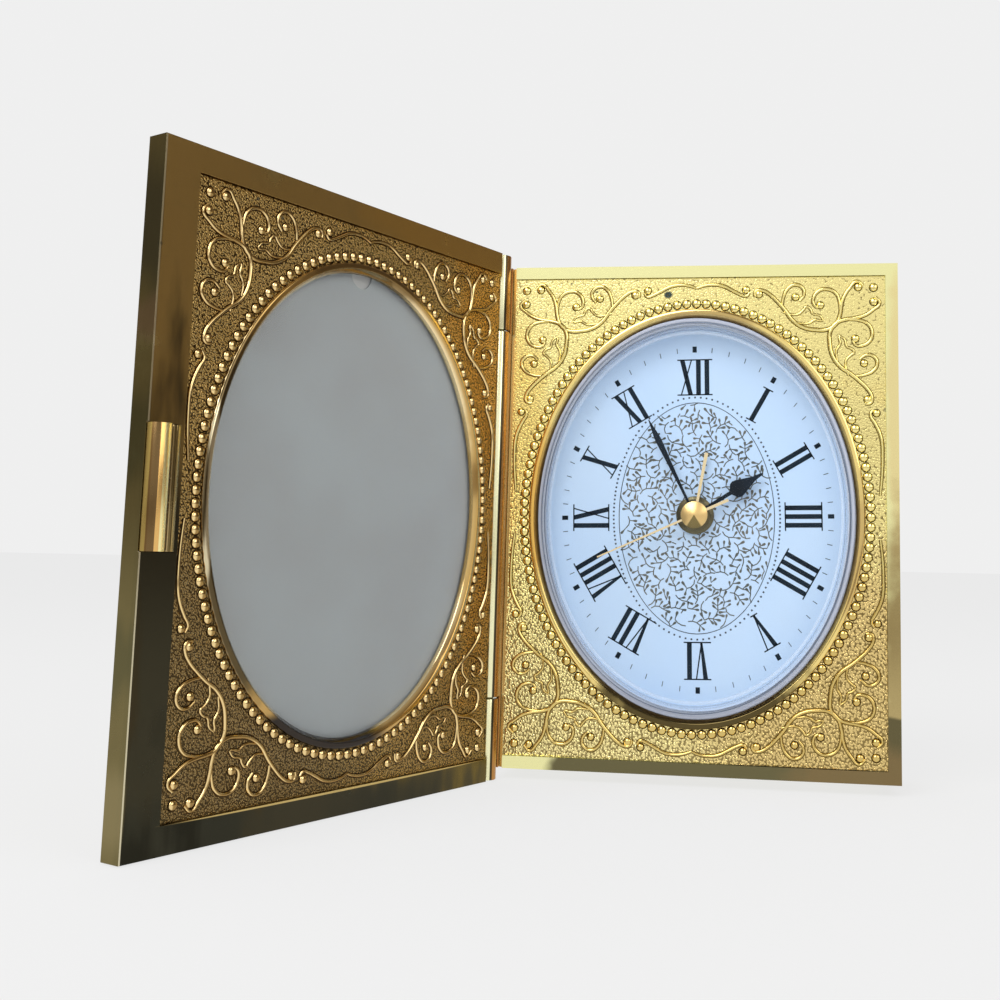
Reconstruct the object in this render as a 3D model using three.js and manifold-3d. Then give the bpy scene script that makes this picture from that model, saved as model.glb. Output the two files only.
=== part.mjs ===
// Folding desk clock: a picture lid and a clock leaf, joined by a barrel hinge and opened like a book.
// Millimetres, +Z up. The origin is the middle of the back cover's lower edge face, where the clock rests.
// Each leaf is drawn in a frame of its own: X across, Y up, Z out of its face, zero on its ornament plate.

import * as THREE from 'three';
import { mergeVertices } from 'three/addons/utils/BufferGeometryUtils.js';
import Module from 'manifold-3d';

const wasm = await Module();
wasm.setup();

// Ornament plates, the same stamping on both leaves
const plateWidth = 72.8;
const plateHeight = 93.4;
const plateSheet = 0.5;
const sideMargin = 5.55;
const endMargin = 7.85;
const beadOffset = 2.7;
const beadDiameter = 1.8;
const beadHeight = 0.5;
const beadCount = 124;

// Oval bezels around both openings
const bezelWidth = 1.75;
const bezelNeck = 0.6;
const bezelCrest = 0.5;

// Fits
const seat = 0.1;
const lidSeat = 0.15;
const runningGap = 0.1;
const closedGap = 0.4;
const ovalSides = 40;

// Clock frame
const rimWidth = 2.45;
const rimHeight = 0.5;
const hingeLip = 0.7;
const frameWall = 1.2;
const webThickness = 1.4;
const bossRadius = 2.4;
const bossInset = 3.4;
const coverScrewRadius = 1;
const coverScrewHead = 2.2;
const coverScrewDepth = 6.4;

// Crystal, surround and dial
const crystalHeight = 1.7;
const crystalStep = 0.85;
const crystalRoof = 1.2;
const crystalFlange = 0.75;
const crystalFoot = 1.05;
const surroundThickness = 1.0;
const surroundLap = 1.2;
const dialThickness = 0.7;
const dialCorner = 9;

// Back cover
const coverThickness = 2.5;
const coverOverhang = 1.85;

// Hinge
const leafOpening = 114.5;
const knuckleRadius = 1.75;
const pinRadius = 0.8;
const pinGap = 0.1;
const knuckleSplit = 35.6;
const knuckleGap = 0.3;
const hingeLeafSheet = 0.8;
const hingeLeafDepth = 9;
const rivetRadius = 0.6;
const rivetHead = 1.3;
const rivetZ = -5;
const rivetHeights = [-28, 28];

// Lid
const lidThickness = 3.8;
const lidRimFree = 6.5;
const lidRimEnd = 4.3;
const lidLedge = 2.0;
const windowThickness = 0.3;
const cardThickness = 0.3;
const padThickness = 0.4;
const lidCoverSheet = 0.6;
const lidCoverInset = 1.5;
const hingeBar = 1.1;
const lidLeafSheet = 0.65;
const notchWidth = 5;
const notchDepth = 2.2;

// Clasp
const claspLength = 18;
const claspBead = 1.85;
const claspStrip = 5.45;
const claspSheet = 0.37;
const claspPocket = 0.3;
const claspRidge = 0.1;
const claspRidgeWidth = 0.3;
const claspRidgePitch = 0.7;
const claspRidgeInset = 0.45;
const studHeights = [-5, 5];
const studFoot = -1.8;
const studRadius = 0.6;

// Hands, clockwise from twelve in degrees, and their reach
const hourReach = 15.5;
const minuteReach = 20.7;
const secondReach = 20.7;
const secondTail = 7.2;
const alarmReach = 12.4;
const hourAngle = 57.8;
const minuteAngle = 333.5;
const secondAngle = 245.7;
const alarmAngle = 10.1;
const handSheet = 0.25;
const handPitch = 0.5;
const capRadius = 2.6;
const capHeight = 0.65;

// Pipes of the hand stack, one inside the other
const secondArbor = 0.3;
const pipeWall = 0.3;

// Movement
const frontPlateThickness = 1.2;
const housingWall = 0.9;
const housingBackWall = 1.2;
const layerPitch = 1.15;
const wheelSheet = 0.4;
const pinionLength = 0.9;
const arborRadius = 0.3;
const setArborRadius = 0.6;
const nutRadius = 3.7;
const nutThickness = 0.8;
const bushRadius = 2.4;
const pivotDepth = 0.6;
const moveScrewRadius = 0.7;
const moveScrewHead = 1.5;
const moveScrewInset = 1.5;
const moveScrewPost = 1.8;
const gearPlay = 1.2;
const batteryRadius = 5.25;
const batteryLength = 43.7;
const batteryButton = 1.9;
const bayPlay = 0.25;
const contactRoom = 3.25;
const contactSheet = 0.4;
const contactHalf = 4.5;
const springRadius = 2.5;
const knobRadius = 4.1;
const knobHeight = 2.3;
const doorThickness = 0.8;
const doorTravel = 6;
const doorRib = 0.8;
const doorRibHalf = 3;
const switchTravel = 3;
const switchNeck = 3;
const switchLip = 0.6;
const switchInset = [8, 6.6];

// Coil, stator, circuit board and buzzer
const coilArm = 7.7;
const coreHalf = 1;
const coreSheet = 0.8;
const coreEnd = 11.4;
const corePostRadius = 1;
const spoolHalf = 1.6;
const spoolEnd = 8.9;
const spoolFlange = 0.5;
const windingRadius = 2.5;
const coilPlay = 0.15;
const statorSheet = 0.8;
const statorHole = 2.5;
const statorYoke = 3.4;
const statorSpine = 2;
const magnetRadius = 2.1;
const magnetLength = 1.5;
const boardWidth = 17.5;
const boardHeight = 11;
const boardSheet = 0.8;
const boardInset = 0.8;
const blobRadius = 2.2;
const canRadius = 1;
const canLength = 6;
const buzzerRadius = 6.2;
const buzzerThickness = 1.5;
const buzzerHole = 0.8;

// Gearing
const trainModule = 0.24;
const secondModule = 0.3;
const rotorModule = 0.25;
const motionModule = 0.4125;
const alarmModule = 0.405;
const secondTeeth = 36;
const secondPinionTeeth = 6;
const thirdTeeth = 45;
const thirdPinionTeeth = 6;
const centreTeeth = 48;
const intermediateTeeth = 30;
const intermediatePinionTeeth = 6;
const rotorPinionTeeth = 6;
const cannonTeeth = 8;
const motionTeeth = 24;
const motionPinionTeeth = 8;
const hourTeeth = 32;
const alarmTeeth = 24;
const alarmSetTeeth = 16;
const thirdBearing = 115;
const motionBearing = -60;
const alarmSetBearing = 40;

// Plate and oval
const halfW = plateWidth / 2;
const halfH = plateHeight / 2;
const sightA = halfW - sideMargin;
const sightB = halfH - endMargin;

// Clock leaf, across
const frameLeft = -halfW - hingeLip;
const frameRight = halfW + rimWidth;
const frameTop = halfH + rimWidth;
const innerLeft = frameLeft + frameWall;
const innerRight = frameRight - frameWall;
const innerTop = frameTop - frameWall;
const coverTop = frameTop + coverOverhang;
const bossSpots = [-1, 1].flatMap((side) => [
  [frameLeft + bossInset, side * (frameTop - bossInset)],
  [frameRight - bossInset, side * (frameTop - bossInset)],
]);

// Clock leaf, from the plate face back
const webFront = -plateSheet - seat;
const webBack = webFront - webThickness;
const flangeTop = webBack + crystalFlange;
const surroundFront = webBack - seat;
const surroundBack = surroundFront - surroundThickness;
const dialFront = surroundBack - seat;
const dialBack = dialFront - dialThickness;
const frontPlateFront = dialBack - seat;
const frontPlateBack = frontPlateFront - frontPlateThickness;
const housingFront = frontPlateBack - seat;

// Gear layers, front to back
const alarmLayer = frontPlateBack - 0.75;
const hourLayer = alarmLayer - layerPitch;
const motionLayer = hourLayer - layerPitch;
const centreLayer = motionLayer - layerPitch;
const thirdLayer = centreLayer - layerPitch;
const secondLayer = thirdLayer - layerPitch;

// Coil and stator levels, and the backs of housing, frame and cover behind the coil
const coreBack = thirdLayer;
const coreFront = coreBack + coreSheet;
const coreZ = (coreBack + coreFront) / 2;
const statorBack = coreFront + seat;
const statorFront = statorBack + statorSheet;
const housingInner = coreZ - windingRadius - 2 * seat - coilPlay;
const housingBack = housingInner - housingBackWall;
const frameBack = housingBack - 2 * seat;
const coverFront = frameBack - seat;
const coverBack = coverFront - coverThickness;

// Hinge axis, seen from either leaf
const rimGap = 2 * rimHeight + closedGap;
const lidAxisZ = -1.15;
const axisZ = rimGap - lidAxisZ;
const axisX = -frameRight;
const boreRadius = pinRadius + pinGap;

// Lid, across and from the plate face back
const lidLeft = -halfW - lidRimFree;
const lidRight = halfW + 0.2;
const lidTop = halfH + lidRimEnd;
const lidBack = rimHeight - lidThickness;
const lidPocket = lidSeat;
const ledgeTop = -plateSheet - lidSeat;
const ledgeX = halfW - lidLedge;
const ledgeY = halfH - lidLedge;
const lidNeckBack = ledgeTop - 0.45;
const windowFront = lidNeckBack - lidSeat;
const windowBack = windowFront - windowThickness;
const cardFront = windowBack - lidSeat;
const cardBack = cardFront - cardThickness;
const padFront = cardBack - lidSeat;
const padBack = padFront - padThickness;
const lidCoverFront = lidBack + lidCoverSheet;
const lidCoverSeat = lidCoverFront + lidSeat;
const barBack = ledgeTop - hingeBar;
const lidLeafFront = barBack - lidSeat;
const lidLeafBack = lidLeafFront - lidLeafSheet;

// Arbor places
const spot = (distance, bearing) => {
  const angle = THREE.MathUtils.degToRad(bearing);
  return [distance * Math.cos(angle), distance * Math.sin(angle)];
};
const thirdDistance = (trainModule * (secondPinionTeeth + thirdTeeth)) / 2;
const motionDistance = (motionModule * (cannonTeeth + motionTeeth)) / 2;
const alarmSetDistance = (alarmModule * (alarmTeeth + alarmSetTeeth)) / 2;
const centreModule = (2 * thirdDistance) / (centreTeeth + thirdPinionTeeth);
const hourModule = (2 * motionDistance) / (hourTeeth + motionPinionTeeth);
const intermediateX = (secondModule * (secondTeeth + intermediatePinionTeeth)) / 2;
const rotorX = intermediateX + (rotorModule * (intermediateTeeth + rotorPinionTeeth)) / 2;
const thirdSpot = spot(thirdDistance, thirdBearing);
const motionSpot = spot(motionDistance, motionBearing);
const alarmSetSpot = spot(alarmSetDistance, alarmSetBearing);
const intermediateSpot = [intermediateX, 0];
const rotorSpot = [rotorX, 0];

// Pipes, inner radius of each; the outer radius is one wall more
const minutePipe = secondArbor + runningGap;
const hourPipe = minutePipe + pipeWall + runningGap;
const alarmPipe = hourPipe + pipeWall + runningGap;
const bushBore = alarmPipe + pipeWall + runningGap;

// Hand levels, top faces
const bushTop = surroundFront - 0.15;
const nutTop = bushTop - 0.05;
const alarmHandTop = bushTop + runningGap + handSheet;
const hourHandTop = alarmHandTop + handPitch;
const minuteHandTop = hourHandTop + handPitch;
const secondHandTop = minuteHandTop + handPitch - 0.05;
const capBase = secondHandTop + 0.05;

// Housing: the battery, the third wheel and the coil set its size
const bayWidth = 2 * (batteryRadius + bayPlay + housingWall);
const thirdReach = (thirdTeeth / 2 + 0.5) * trainModule - thirdSpot[0];
const halfMoveW = bayWidth + housingWall + gearPlay + thirdReach;
const halfMoveH = batteryLength / 2 + contactRoom + housingWall;
const bayRight = -halfMoveW + bayWidth;
const roomLeft = bayRight + housingWall;
const roomRight = halfMoveW - housingWall;
const roomTop = halfMoveH - housingWall;
const bayCentre = (-halfMoveW + bayRight) / 2;
const batteryZ = frontPlateBack - 0.15 - batteryRadius;
const bayBack = batteryZ - batteryRadius - seat;
const doorFront = bayBack - seat;
const doorBack = doorFront - doorThickness;
const doorTop = halfMoveH - seat;
const moveScrewSpots = [
  [roomRight - moveScrewInset, roomTop - moveScrewInset],
  [roomRight - moveScrewInset, -roomTop + moveScrewInset],
  [roomLeft + moveScrewInset, -roomTop + moveScrewInset],
];
const switchSpot = [roomRight - switchInset[0], roomTop - switchInset[1]];

// Coil and stator
const coilX = rotorX + coilArm;
const corePostSpots = [[coilX, coreEnd - coreSheet], [coilX, coreSheet - coreEnd]];

// Board and buzzer
const boardBack = housingInner + seat;
const boardTop = roomTop - boardInset - seat;
const boardMiddle = boardTop - boardHeight / 2;
const boardLeft = roomLeft + boardInset;
const buzzerSpot = [roomRight - 2 * buzzerRadius + 0.3, buzzerRadius + buzzerHole - roomTop];

// Clasp
const claspOuter = lidLeft + lidSeat;
const claspInner = claspOuter + claspStrip;
const claspX = claspOuter + claspBead;
const claspBase = rimHeight - claspPocket + lidSeat;

/** Welds a closed geometry and turns it into a solid that can be joined and cut. */
function toSolid(geometry) {
  const bare = new THREE.BufferGeometry();
  bare.setAttribute('position', geometry.getAttribute('position').clone());
  if (geometry.index) bare.setIndex(geometry.index.clone());
  const welded = mergeVertices(bare);
  const places = welded.getAttribute('position').array;
  const index = welded.getIndex().array;
  const corners = [];
  let volume = 0;
  const [a, b, c] = [new THREE.Vector3(), new THREE.Vector3(), new THREE.Vector3()];
  for (let i = 0; i < index.length; i += 3) {
    const [p, q, r] = [index[i], index[i + 1], index[i + 2]];
    if (p === q || q === r || r === p) continue;
    corners.push(p, q, r);
    a.fromArray(places, 3 * p);
    b.fromArray(places, 3 * q);
    c.fromArray(places, 3 * r);
    volume += a.dot(b.cross(c));
  }
  if (volume < 0) corners.reverse();
  return new wasm.Manifold(new wasm.Mesh({
    numProp: 3,
    vertProperties: new Float32Array(places),
    triVerts: new Uint32Array(corners),
  }));
}

/** Gives a solid back as a three.js geometry. */
function toGeometry(solid) {
  const mesh = solid.getMesh();
  const count = mesh.vertProperties.length / mesh.numProp;
  const places = new Float32Array(3 * count);
  for (let i = 0; i < count; i += 1) {
    places.set(mesh.vertProperties.subarray(i * mesh.numProp, i * mesh.numProp + 3), 3 * i);
  }
  const geometry = new THREE.BufferGeometry();
  geometry.setAttribute('position', new THREE.BufferAttribute(places, 3));
  geometry.setIndex(new THREE.BufferAttribute(new Uint32Array(mesh.triVerts), 1));
  geometry.computeVertexNormals();
  return geometry;
}

/** Straight-sided block between two corners. */
function block(x0, x1, y0, y1, z0, z1) {
  const box = new THREE.BoxGeometry(x1 - x0, y1 - y0, z1 - z0);
  return toSolid(box.translate((x0 + x1) / 2, (y0 + y1) / 2, (z0 + z1) / 2));
}

/** Round bar along Z, which may taper to another radius at its top. */
function rod(radius, z0, z1, [x, y] = [0, 0], sides = 16, topRadius = radius) {
  const bar = new THREE.CylinderGeometry(topRadius, radius, z1 - z0, sides).rotateX(Math.PI / 2);
  return toSolid(bar.translate(x, y, (z0 + z1) / 2));
}

/** Round bar along Y. */
function barY(radius, y0, y1, x, z, sides = 24) {
  const bar = new THREE.CylinderGeometry(radius, radius, y1 - y0, sides);
  return toSolid(bar.translate(x, (y0 + y1) / 2, z));
}

/** Round bar along X. */
function barX(radius, x0, x1, y, z, sides = 16) {
  const bar = new THREE.CylinderGeometry(radius, radius, x1 - x0, sides).rotateZ(Math.PI / 2);
  return toSolid(bar.translate((x0 + x1) / 2, y, z));
}

/** Flat plate with a given outline. */
function slab(points, z0, z1) {
  const shape = new THREE.Shape(points.map(([x, y]) => new THREE.Vector2(x, y)));
  const plate = new THREE.ExtrudeGeometry(shape, { depth: z1 - z0, bevelEnabled: false });
  return toSolid(plate.translate(0, 0, z0));
}

/** Turned solid about Z from a closed or axis-to-axis profile of radius and height. */
function turned(profile, sides = 24) {
  const lathe = new THREE.LatheGeometry(profile.map(([r, z]) => new THREE.Vector2(r, z)), sides);
  return toSolid(lathe.rotateX(Math.PI / 2));
}

/** Oval ring or disc: the profile gives each point's distance outside the sight oval and its height. */
function oval(profile) {
  const points = profile.map(([t, z]) => new THREE.Vector2(sightB + t, z));
  const lathe = new THREE.LatheGeometry(points, ovalSides).rotateX(Math.PI / 2);
  const places = lathe.getAttribute('position');
  for (let i = 0; i < places.count; i += 1) {
    const reach = Math.hypot(places.getX(i), places.getY(i));
    const t = reach - sightB;
    places.setX(i, reach > 0 ? (places.getX(i) * (sightA + t)) / reach : 0);
  }
  return toSolid(lathe);
}

/** Solid oval plug that reaches a given distance outside the sight oval. */
function ovalPlug(t, z0, z1) {
  return oval([[-sightB, z0], [t, z0], [t, z1], [-sightB, z1]]);
}

/** Outline of a rectangle with its four corners cut off. */
function cutCornerOutline(x0, x1, y, corner) {
  return [
    [x0 + corner, -y], [x1 - corner, -y], [x1, -y + corner], [x1, y - corner],
    [x1 - corner, y], [x0 + corner, y], [x0, y - corner], [x0, -y + corner],
  ];
}

/** Toothed outline with one tooth tip at the given phase angle. */
function toothOutline(teeth, module, phase) {
  const pitchRadius = (teeth * module) / 2;
  const points = [];
  for (let i = 0; i < 2 * teeth; i += 1) {
    const radius = pitchRadius + (i % 2 === 0 ? 0.5 : -1.1) * module;
    const angle = phase + (i * Math.PI) / teeth;
    points.push([radius * Math.cos(angle), radius * Math.sin(angle)]);
  }
  return points;
}

/** Toothed wheel about Z at a layer. */
function wheel(teeth, module, layer, thickness, phase = 0) {
  return slab(toothOutline(teeth, module, phase), layer - thickness / 2, layer + thickness / 2);
}

/** Phase that sets a wheel's gaps on its partner's teeth; the bearing points from partner to wheel. */
function meshPhase(bearing, partnerTeeth, teeth) {
  const toWheel = THREE.MathUtils.degToRad(bearing);
  const partnerTurn = (toWheel * partnerTeeth) / (2 * Math.PI);
  return toWheel + Math.PI - ((2 * Math.PI) / teeth) * (0.5 - partnerTurn);
}

/** Flat hand along +Y from pairs of reach and half width, with a round hub and a hole. */
function hand(halfWidths, top, hubRadius, hole) {
  const right = halfWidths.map(([reach, half]) => [half, reach]);
  const left = [...right].reverse().map(([x, y]) => [-x, y]);
  return slab([...right, ...left], top - handSheet, top)
    .add(rod(hubRadius, top - handSheet, top))
    .subtract(rod(hole, top - 1, top + 1));
}

/** Adds a named piece to a group. */
function place(parent, name, solid, color, metalness, roughness) {
  const material = new THREE.MeshStandardMaterial({ color, metalness, roughness });
  const piece = new THREE.Mesh(toGeometry(solid), material);
  piece.name = name;
  parent.add(piece);
  return piece;
}

/** Adds numbered copies of a small steel piece, one at each place. */
function placeEach(parent, name, solid, places, color) {
  places.forEach(([x, y], i) => {
    place(parent, `${name}_${i + 1}`, solid, color, 1, 0.4).position.set(x, y, 0);
  });
}

/** Stamped plate with its oval opening and its ring of beads. */
function ornamentPlate() {
  let plate = block(-halfW, halfW, -halfH, halfH, -plateSheet, 0)
    .subtract(ovalPlug(bezelNeck + seat, -plateSheet - 1, 1));
  const ring = new THREE.EllipseCurve(0, 0, sightA + beadOffset, sightB + beadOffset);
  const centres = ring.getSpacedPoints(beadCount).slice(0, beadCount);
  const footRadius = beadDiameter / 2;
  for (const centre of centres) {
    const turn = Math.atan2(centre.y / sightB, centre.x / sightA) + Math.PI / 4;
    const bead = new THREE.CylinderGeometry(0, footRadius, beadHeight + 0.1, 4);
    bead.rotateX(Math.PI / 2).rotateZ(turn).translate(centre.x, centre.y, (beadHeight - 0.1) / 2);
    plate = plate.add(toSolid(bead));
  }
  return plate;
}

/** Rounded oval bezel that caps the plate's opening, with a neck through it. */
function bezel(neckBack) {
  return oval([
    [0, neckBack], [0, 0.3 * bezelCrest], [0.4, bezelCrest], [bezelWidth - 0.75, bezelCrest],
    [bezelWidth, seat], [bezelNeck, seat], [bezelNeck, neckBack], [0, neckBack],
  ]);
}

/** Frame of the clock leaf: rim, web with its oval opening, side walls and screw bosses. */
function clockFrame() {
  let frame = block(frameLeft, frameRight, -frameTop, frameTop, frameBack, rimHeight)
    .subtract(block(innerLeft, innerRight, -innerTop, innerTop, frameBack - 1, webBack))
    .subtract(block(frameLeft - 1, halfW + seat, -halfH - seat, halfH + seat, webFront, rimHeight + 1))
    .subtract(block(frameLeft - 1, -halfW, -frameTop - 1, frameTop + 1, webFront, rimHeight + 1))
    .subtract(ovalPlug(crystalFoot + 2 * seat, webBack - 1, webFront + 1));
  const screwBore = coverScrewRadius + runningGap;
  const boreTop = frameBack + coverScrewDepth + 0.2;
  for (const bossSpot of bossSpots) {
    frame = frame
      .add(rod(bossRadius, frameBack, webBack + 0.2, bossSpot))
      .subtract(rod(screwBore, frameBack - 1, boreTop, bossSpot, 12));
  }
  for (const y of rivetHeights) {
    frame = frame.subtract(barX(rivetRadius + runningGap, frameLeft - 1, innerLeft + 1, y, rivetZ, 12));
  }
  return frame;
}

/** Clear crystal: a hollow stepped dome with a foot flange under the web. */
function crystal() {
  const shoulder = crystalHeight - 0.3;
  const step = crystalHeight - crystalStep - 0.25;
  return oval([
    [-sightB, crystalHeight], [-1.4, crystalHeight], [-1.1, shoulder], [-1.1, step], [-0.25, step - 0.2],
    [-0.25, flangeTop], [crystalFoot, flangeTop], [crystalFoot, webBack], [-2, webBack],
    [-2, crystalHeight - crystalRoof], [-sightB, crystalHeight - crystalRoof],
  ]);
}

/** Outline shared by surround, dial and retainer, drawn in from the frame's walls. */
function stackOutline(inset) {
  const corner = dialCorner - inset * (2 - Math.SQRT2);
  const gap = 2 * seat + inset;
  return cutCornerOutline(innerLeft + gap, innerRight - gap, innerTop - gap, corner);
}

/** Movement front plate with the threaded bush and the pivot holes. */
function frontPlate() {
  let plate = block(-halfMoveW, halfMoveW, -halfMoveH, halfMoveH, frontPlateBack, frontPlateFront)
    .add(rod(bushRadius, frontPlateBack, bushTop, [0, 0], 24))
    .subtract(rod(bushBore, frontPlateBack - 1, bushTop + 1));
  const drill = (radius, depth, place) => {
    const bore = rod(radius + runningGap, frontPlateBack - 1, frontPlateBack + depth, place, 12);
    plate = plate.subtract(bore);
  };
  [thirdSpot, intermediateSpot, rotorSpot].forEach((pivot) => drill(arborRadius, pivotDepth, pivot));
  [motionSpot, alarmSetSpot].forEach((pivot) => drill(setArborRadius, pivotDepth, pivot));
  moveScrewSpots.forEach((screw) => drill(moveScrewRadius, pivotDepth + 0.2, screw));
  return plate;
}

/** Movement housing: gear room with a back wall beside an open battery bay. */
function movementHousing() {
  const bayLeft = -halfMoveW + housingWall;
  const bayEnd = bayRight - housingWall;
  let housing = block(-halfMoveW, halfMoveW, -halfMoveH, halfMoveH, housingBack, housingFront)
    .add(block(-halfMoveW, bayRight, -halfMoveH, halfMoveH, bayBack, housingBack + 1))
    .subtract(block(roomLeft, roomRight, -roomTop, roomTop, housingInner, housingFront + 1))
    .subtract(block(bayLeft, bayEnd, -roomTop, roomTop, bayBack - 1, housingFront + 1));
  for (const screw of moveScrewSpots) {
    housing = housing
      .add(rod(moveScrewPost, housingInner - 0.2, housingFront, screw, 16))
      .subtract(rod(moveScrewRadius + runningGap, housingBack - 1, housingFront + 1, screw, 12));
  }
  for (const post of corePostSpots) {
    housing = housing.add(rod(corePostRadius, housingInner - 0.2, coreBack - seat, post, 12));
  }
  const arborBore = arborRadius + runningGap;
  for (const pivot of [[0, 0], thirdSpot, intermediateSpot, rotorSpot]) {
    housing = housing.subtract(rod(arborBore, housingInner - pivotDepth, housingInner + 1, pivot, 12));
  }
  const setBore = setArborRadius + runningGap;
  for (const pivot of [motionSpot, alarmSetSpot]) {
    housing = housing.subtract(rod(setBore, housingBack - 1, housingInner + 1, pivot, 12));
  }
  const [sx, sy] = switchSpot;
  return housing.subtract(block(
    sx - switchNeck / 2 - seat, sx + switchNeck / 2 + switchTravel + seat,
    sy - 1 - seat, sy + 1 + seat, housingBack - 1, housingInner + 1,
  ));
}

/** Clock case: frame, plate, bezel, crystal, surround, dial, retainer and back cover. */
function addCase(leaf) {
  const gold = 0xd9b56a;
  place(leaf, 'clock_frame', clockFrame(), gold, 1, 0.3);
  place(leaf, 'clock_ornament_plate', ornamentPlate(), 0xe3be72, 1, 0.35);
  place(leaf, 'clock_bezel', bezel(flangeTop + seat), 0xe8c886, 1, 0.15);
  place(leaf, 'crystal', crystal(), 0xe8eef2, 0, 0.05);
  const surround = slab(stackOutline(0), surroundBack, surroundFront)
    .subtract(ovalPlug(-surroundLap, surroundBack - 1, surroundFront + 1));
  place(leaf, 'dial_surround', surround, 0xdfe3ea, 0, 0.6);
  const dial = slab(stackOutline(0), dialBack, dialFront)
    .subtract(rod(bushRadius + 2 * runningGap, dialBack - 1, dialFront + 1, [0, 0], 24));
  place(leaf, 'dial', dial, 0xdde3ee, 0, 0.5);
  const retainer = slab(stackOutline(0), frameBack, dialBack - seat)
    .subtract(slab(stackOutline(frameWall), frameBack - 1, dialBack + 1));
  place(leaf, 'dial_retainer', retainer, 0xc9c9c4, 0, 0.7);
  place(leaf, 'back_cover', backCover(), 0xcaa65c, 1, 0.35);
  const screw = rod(coverScrewHead, coverBack + 0.2, coverBack + 1.4, [0, 0], 16)
    .add(rod(coverScrewRadius, coverBack + 1.4, frameBack + coverScrewDepth, [0, 0], 12));
  placeEach(leaf, 'back_cover_screw', screw, bossSpots, 0xb8b8b8);
}

/** Back cover with the movement opening, the pocket for the battery door and the screw holes. */
function backCover() {
  const openX = halfMoveW + 0.3;
  const openY = halfMoveH + 0.3;
  const pocketTop = doorTop + doorTravel + 0.7;
  let cover = block(frameLeft, frameRight, -coverTop, coverTop, coverBack, coverFront)
    .subtract(block(-openX, openX, -openY, openY, coverBack - 1, coverFront + 1))
    .subtract(block(
      -halfMoveW - 0.4, bayRight + 0.4, openY - 1, pocketTop, coverBack - 1, doorFront + 0.15,
    ));
  for (const bossSpot of bossSpots) {
    cover = cover
      .subtract(rod(coverScrewHead + 2 * seat, coverBack - 1, coverBack + 1.4 + seat, bossSpot, 16))
      .subtract(rod(coverScrewRadius + 2 * seat, coverBack - 1, coverFront + 1, bossSpot, 12));
  }
  return cover;
}

/** Hinge: clock-side leaf with the middle knuckle, its pin and its rivets. */
function addHinge(leaf) {
  const leafOuter = frameLeft - seat - hingeLeafSheet;
  const leafInner = frameLeft - seat;
  const steel = 0xbfa063;
  let hingeLeaf = block(leafOuter, leafInner, -frameTop, frameTop, -hingeLeafDepth, 0.2)
    .add(block(leafOuter, leafInner, -knuckleSplit, knuckleSplit, -hingeLeafDepth, axisZ))
    .add(barY(knuckleRadius, -knuckleSplit, knuckleSplit, axisX, axisZ))
    .subtract(barY(boreRadius, -knuckleSplit - 1, knuckleSplit + 1, axisX, axisZ, 16));
  const rivetBore = rivetRadius + runningGap;
  for (const y of rivetHeights) {
    hingeLeaf = hingeLeaf.subtract(barX(rivetBore, leafOuter - 1, leafInner + 1, y, rivetZ, 12));
  }
  place(leaf, 'clock_hinge_leaf', hingeLeaf, 0xc48a52, 1, 0.35);
  const pin = barY(pinRadius, -lidTop + 0.3, lidTop - 0.3, axisX, axisZ, 16);
  place(leaf, 'hinge_pin', pin, steel, 1, 0.3);
  const rivet = barX(rivetRadius, leafOuter - seat, innerLeft - 0.05, 0, rivetZ, 12)
    .add(barX(rivetHead, leafOuter - seat - 0.4, leafOuter - seat, 0, rivetZ));
  placeEach(leaf, 'hinge_leaf_rivet', rivet, rivetHeights.map((y) => [0, y]), steel);
}

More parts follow.
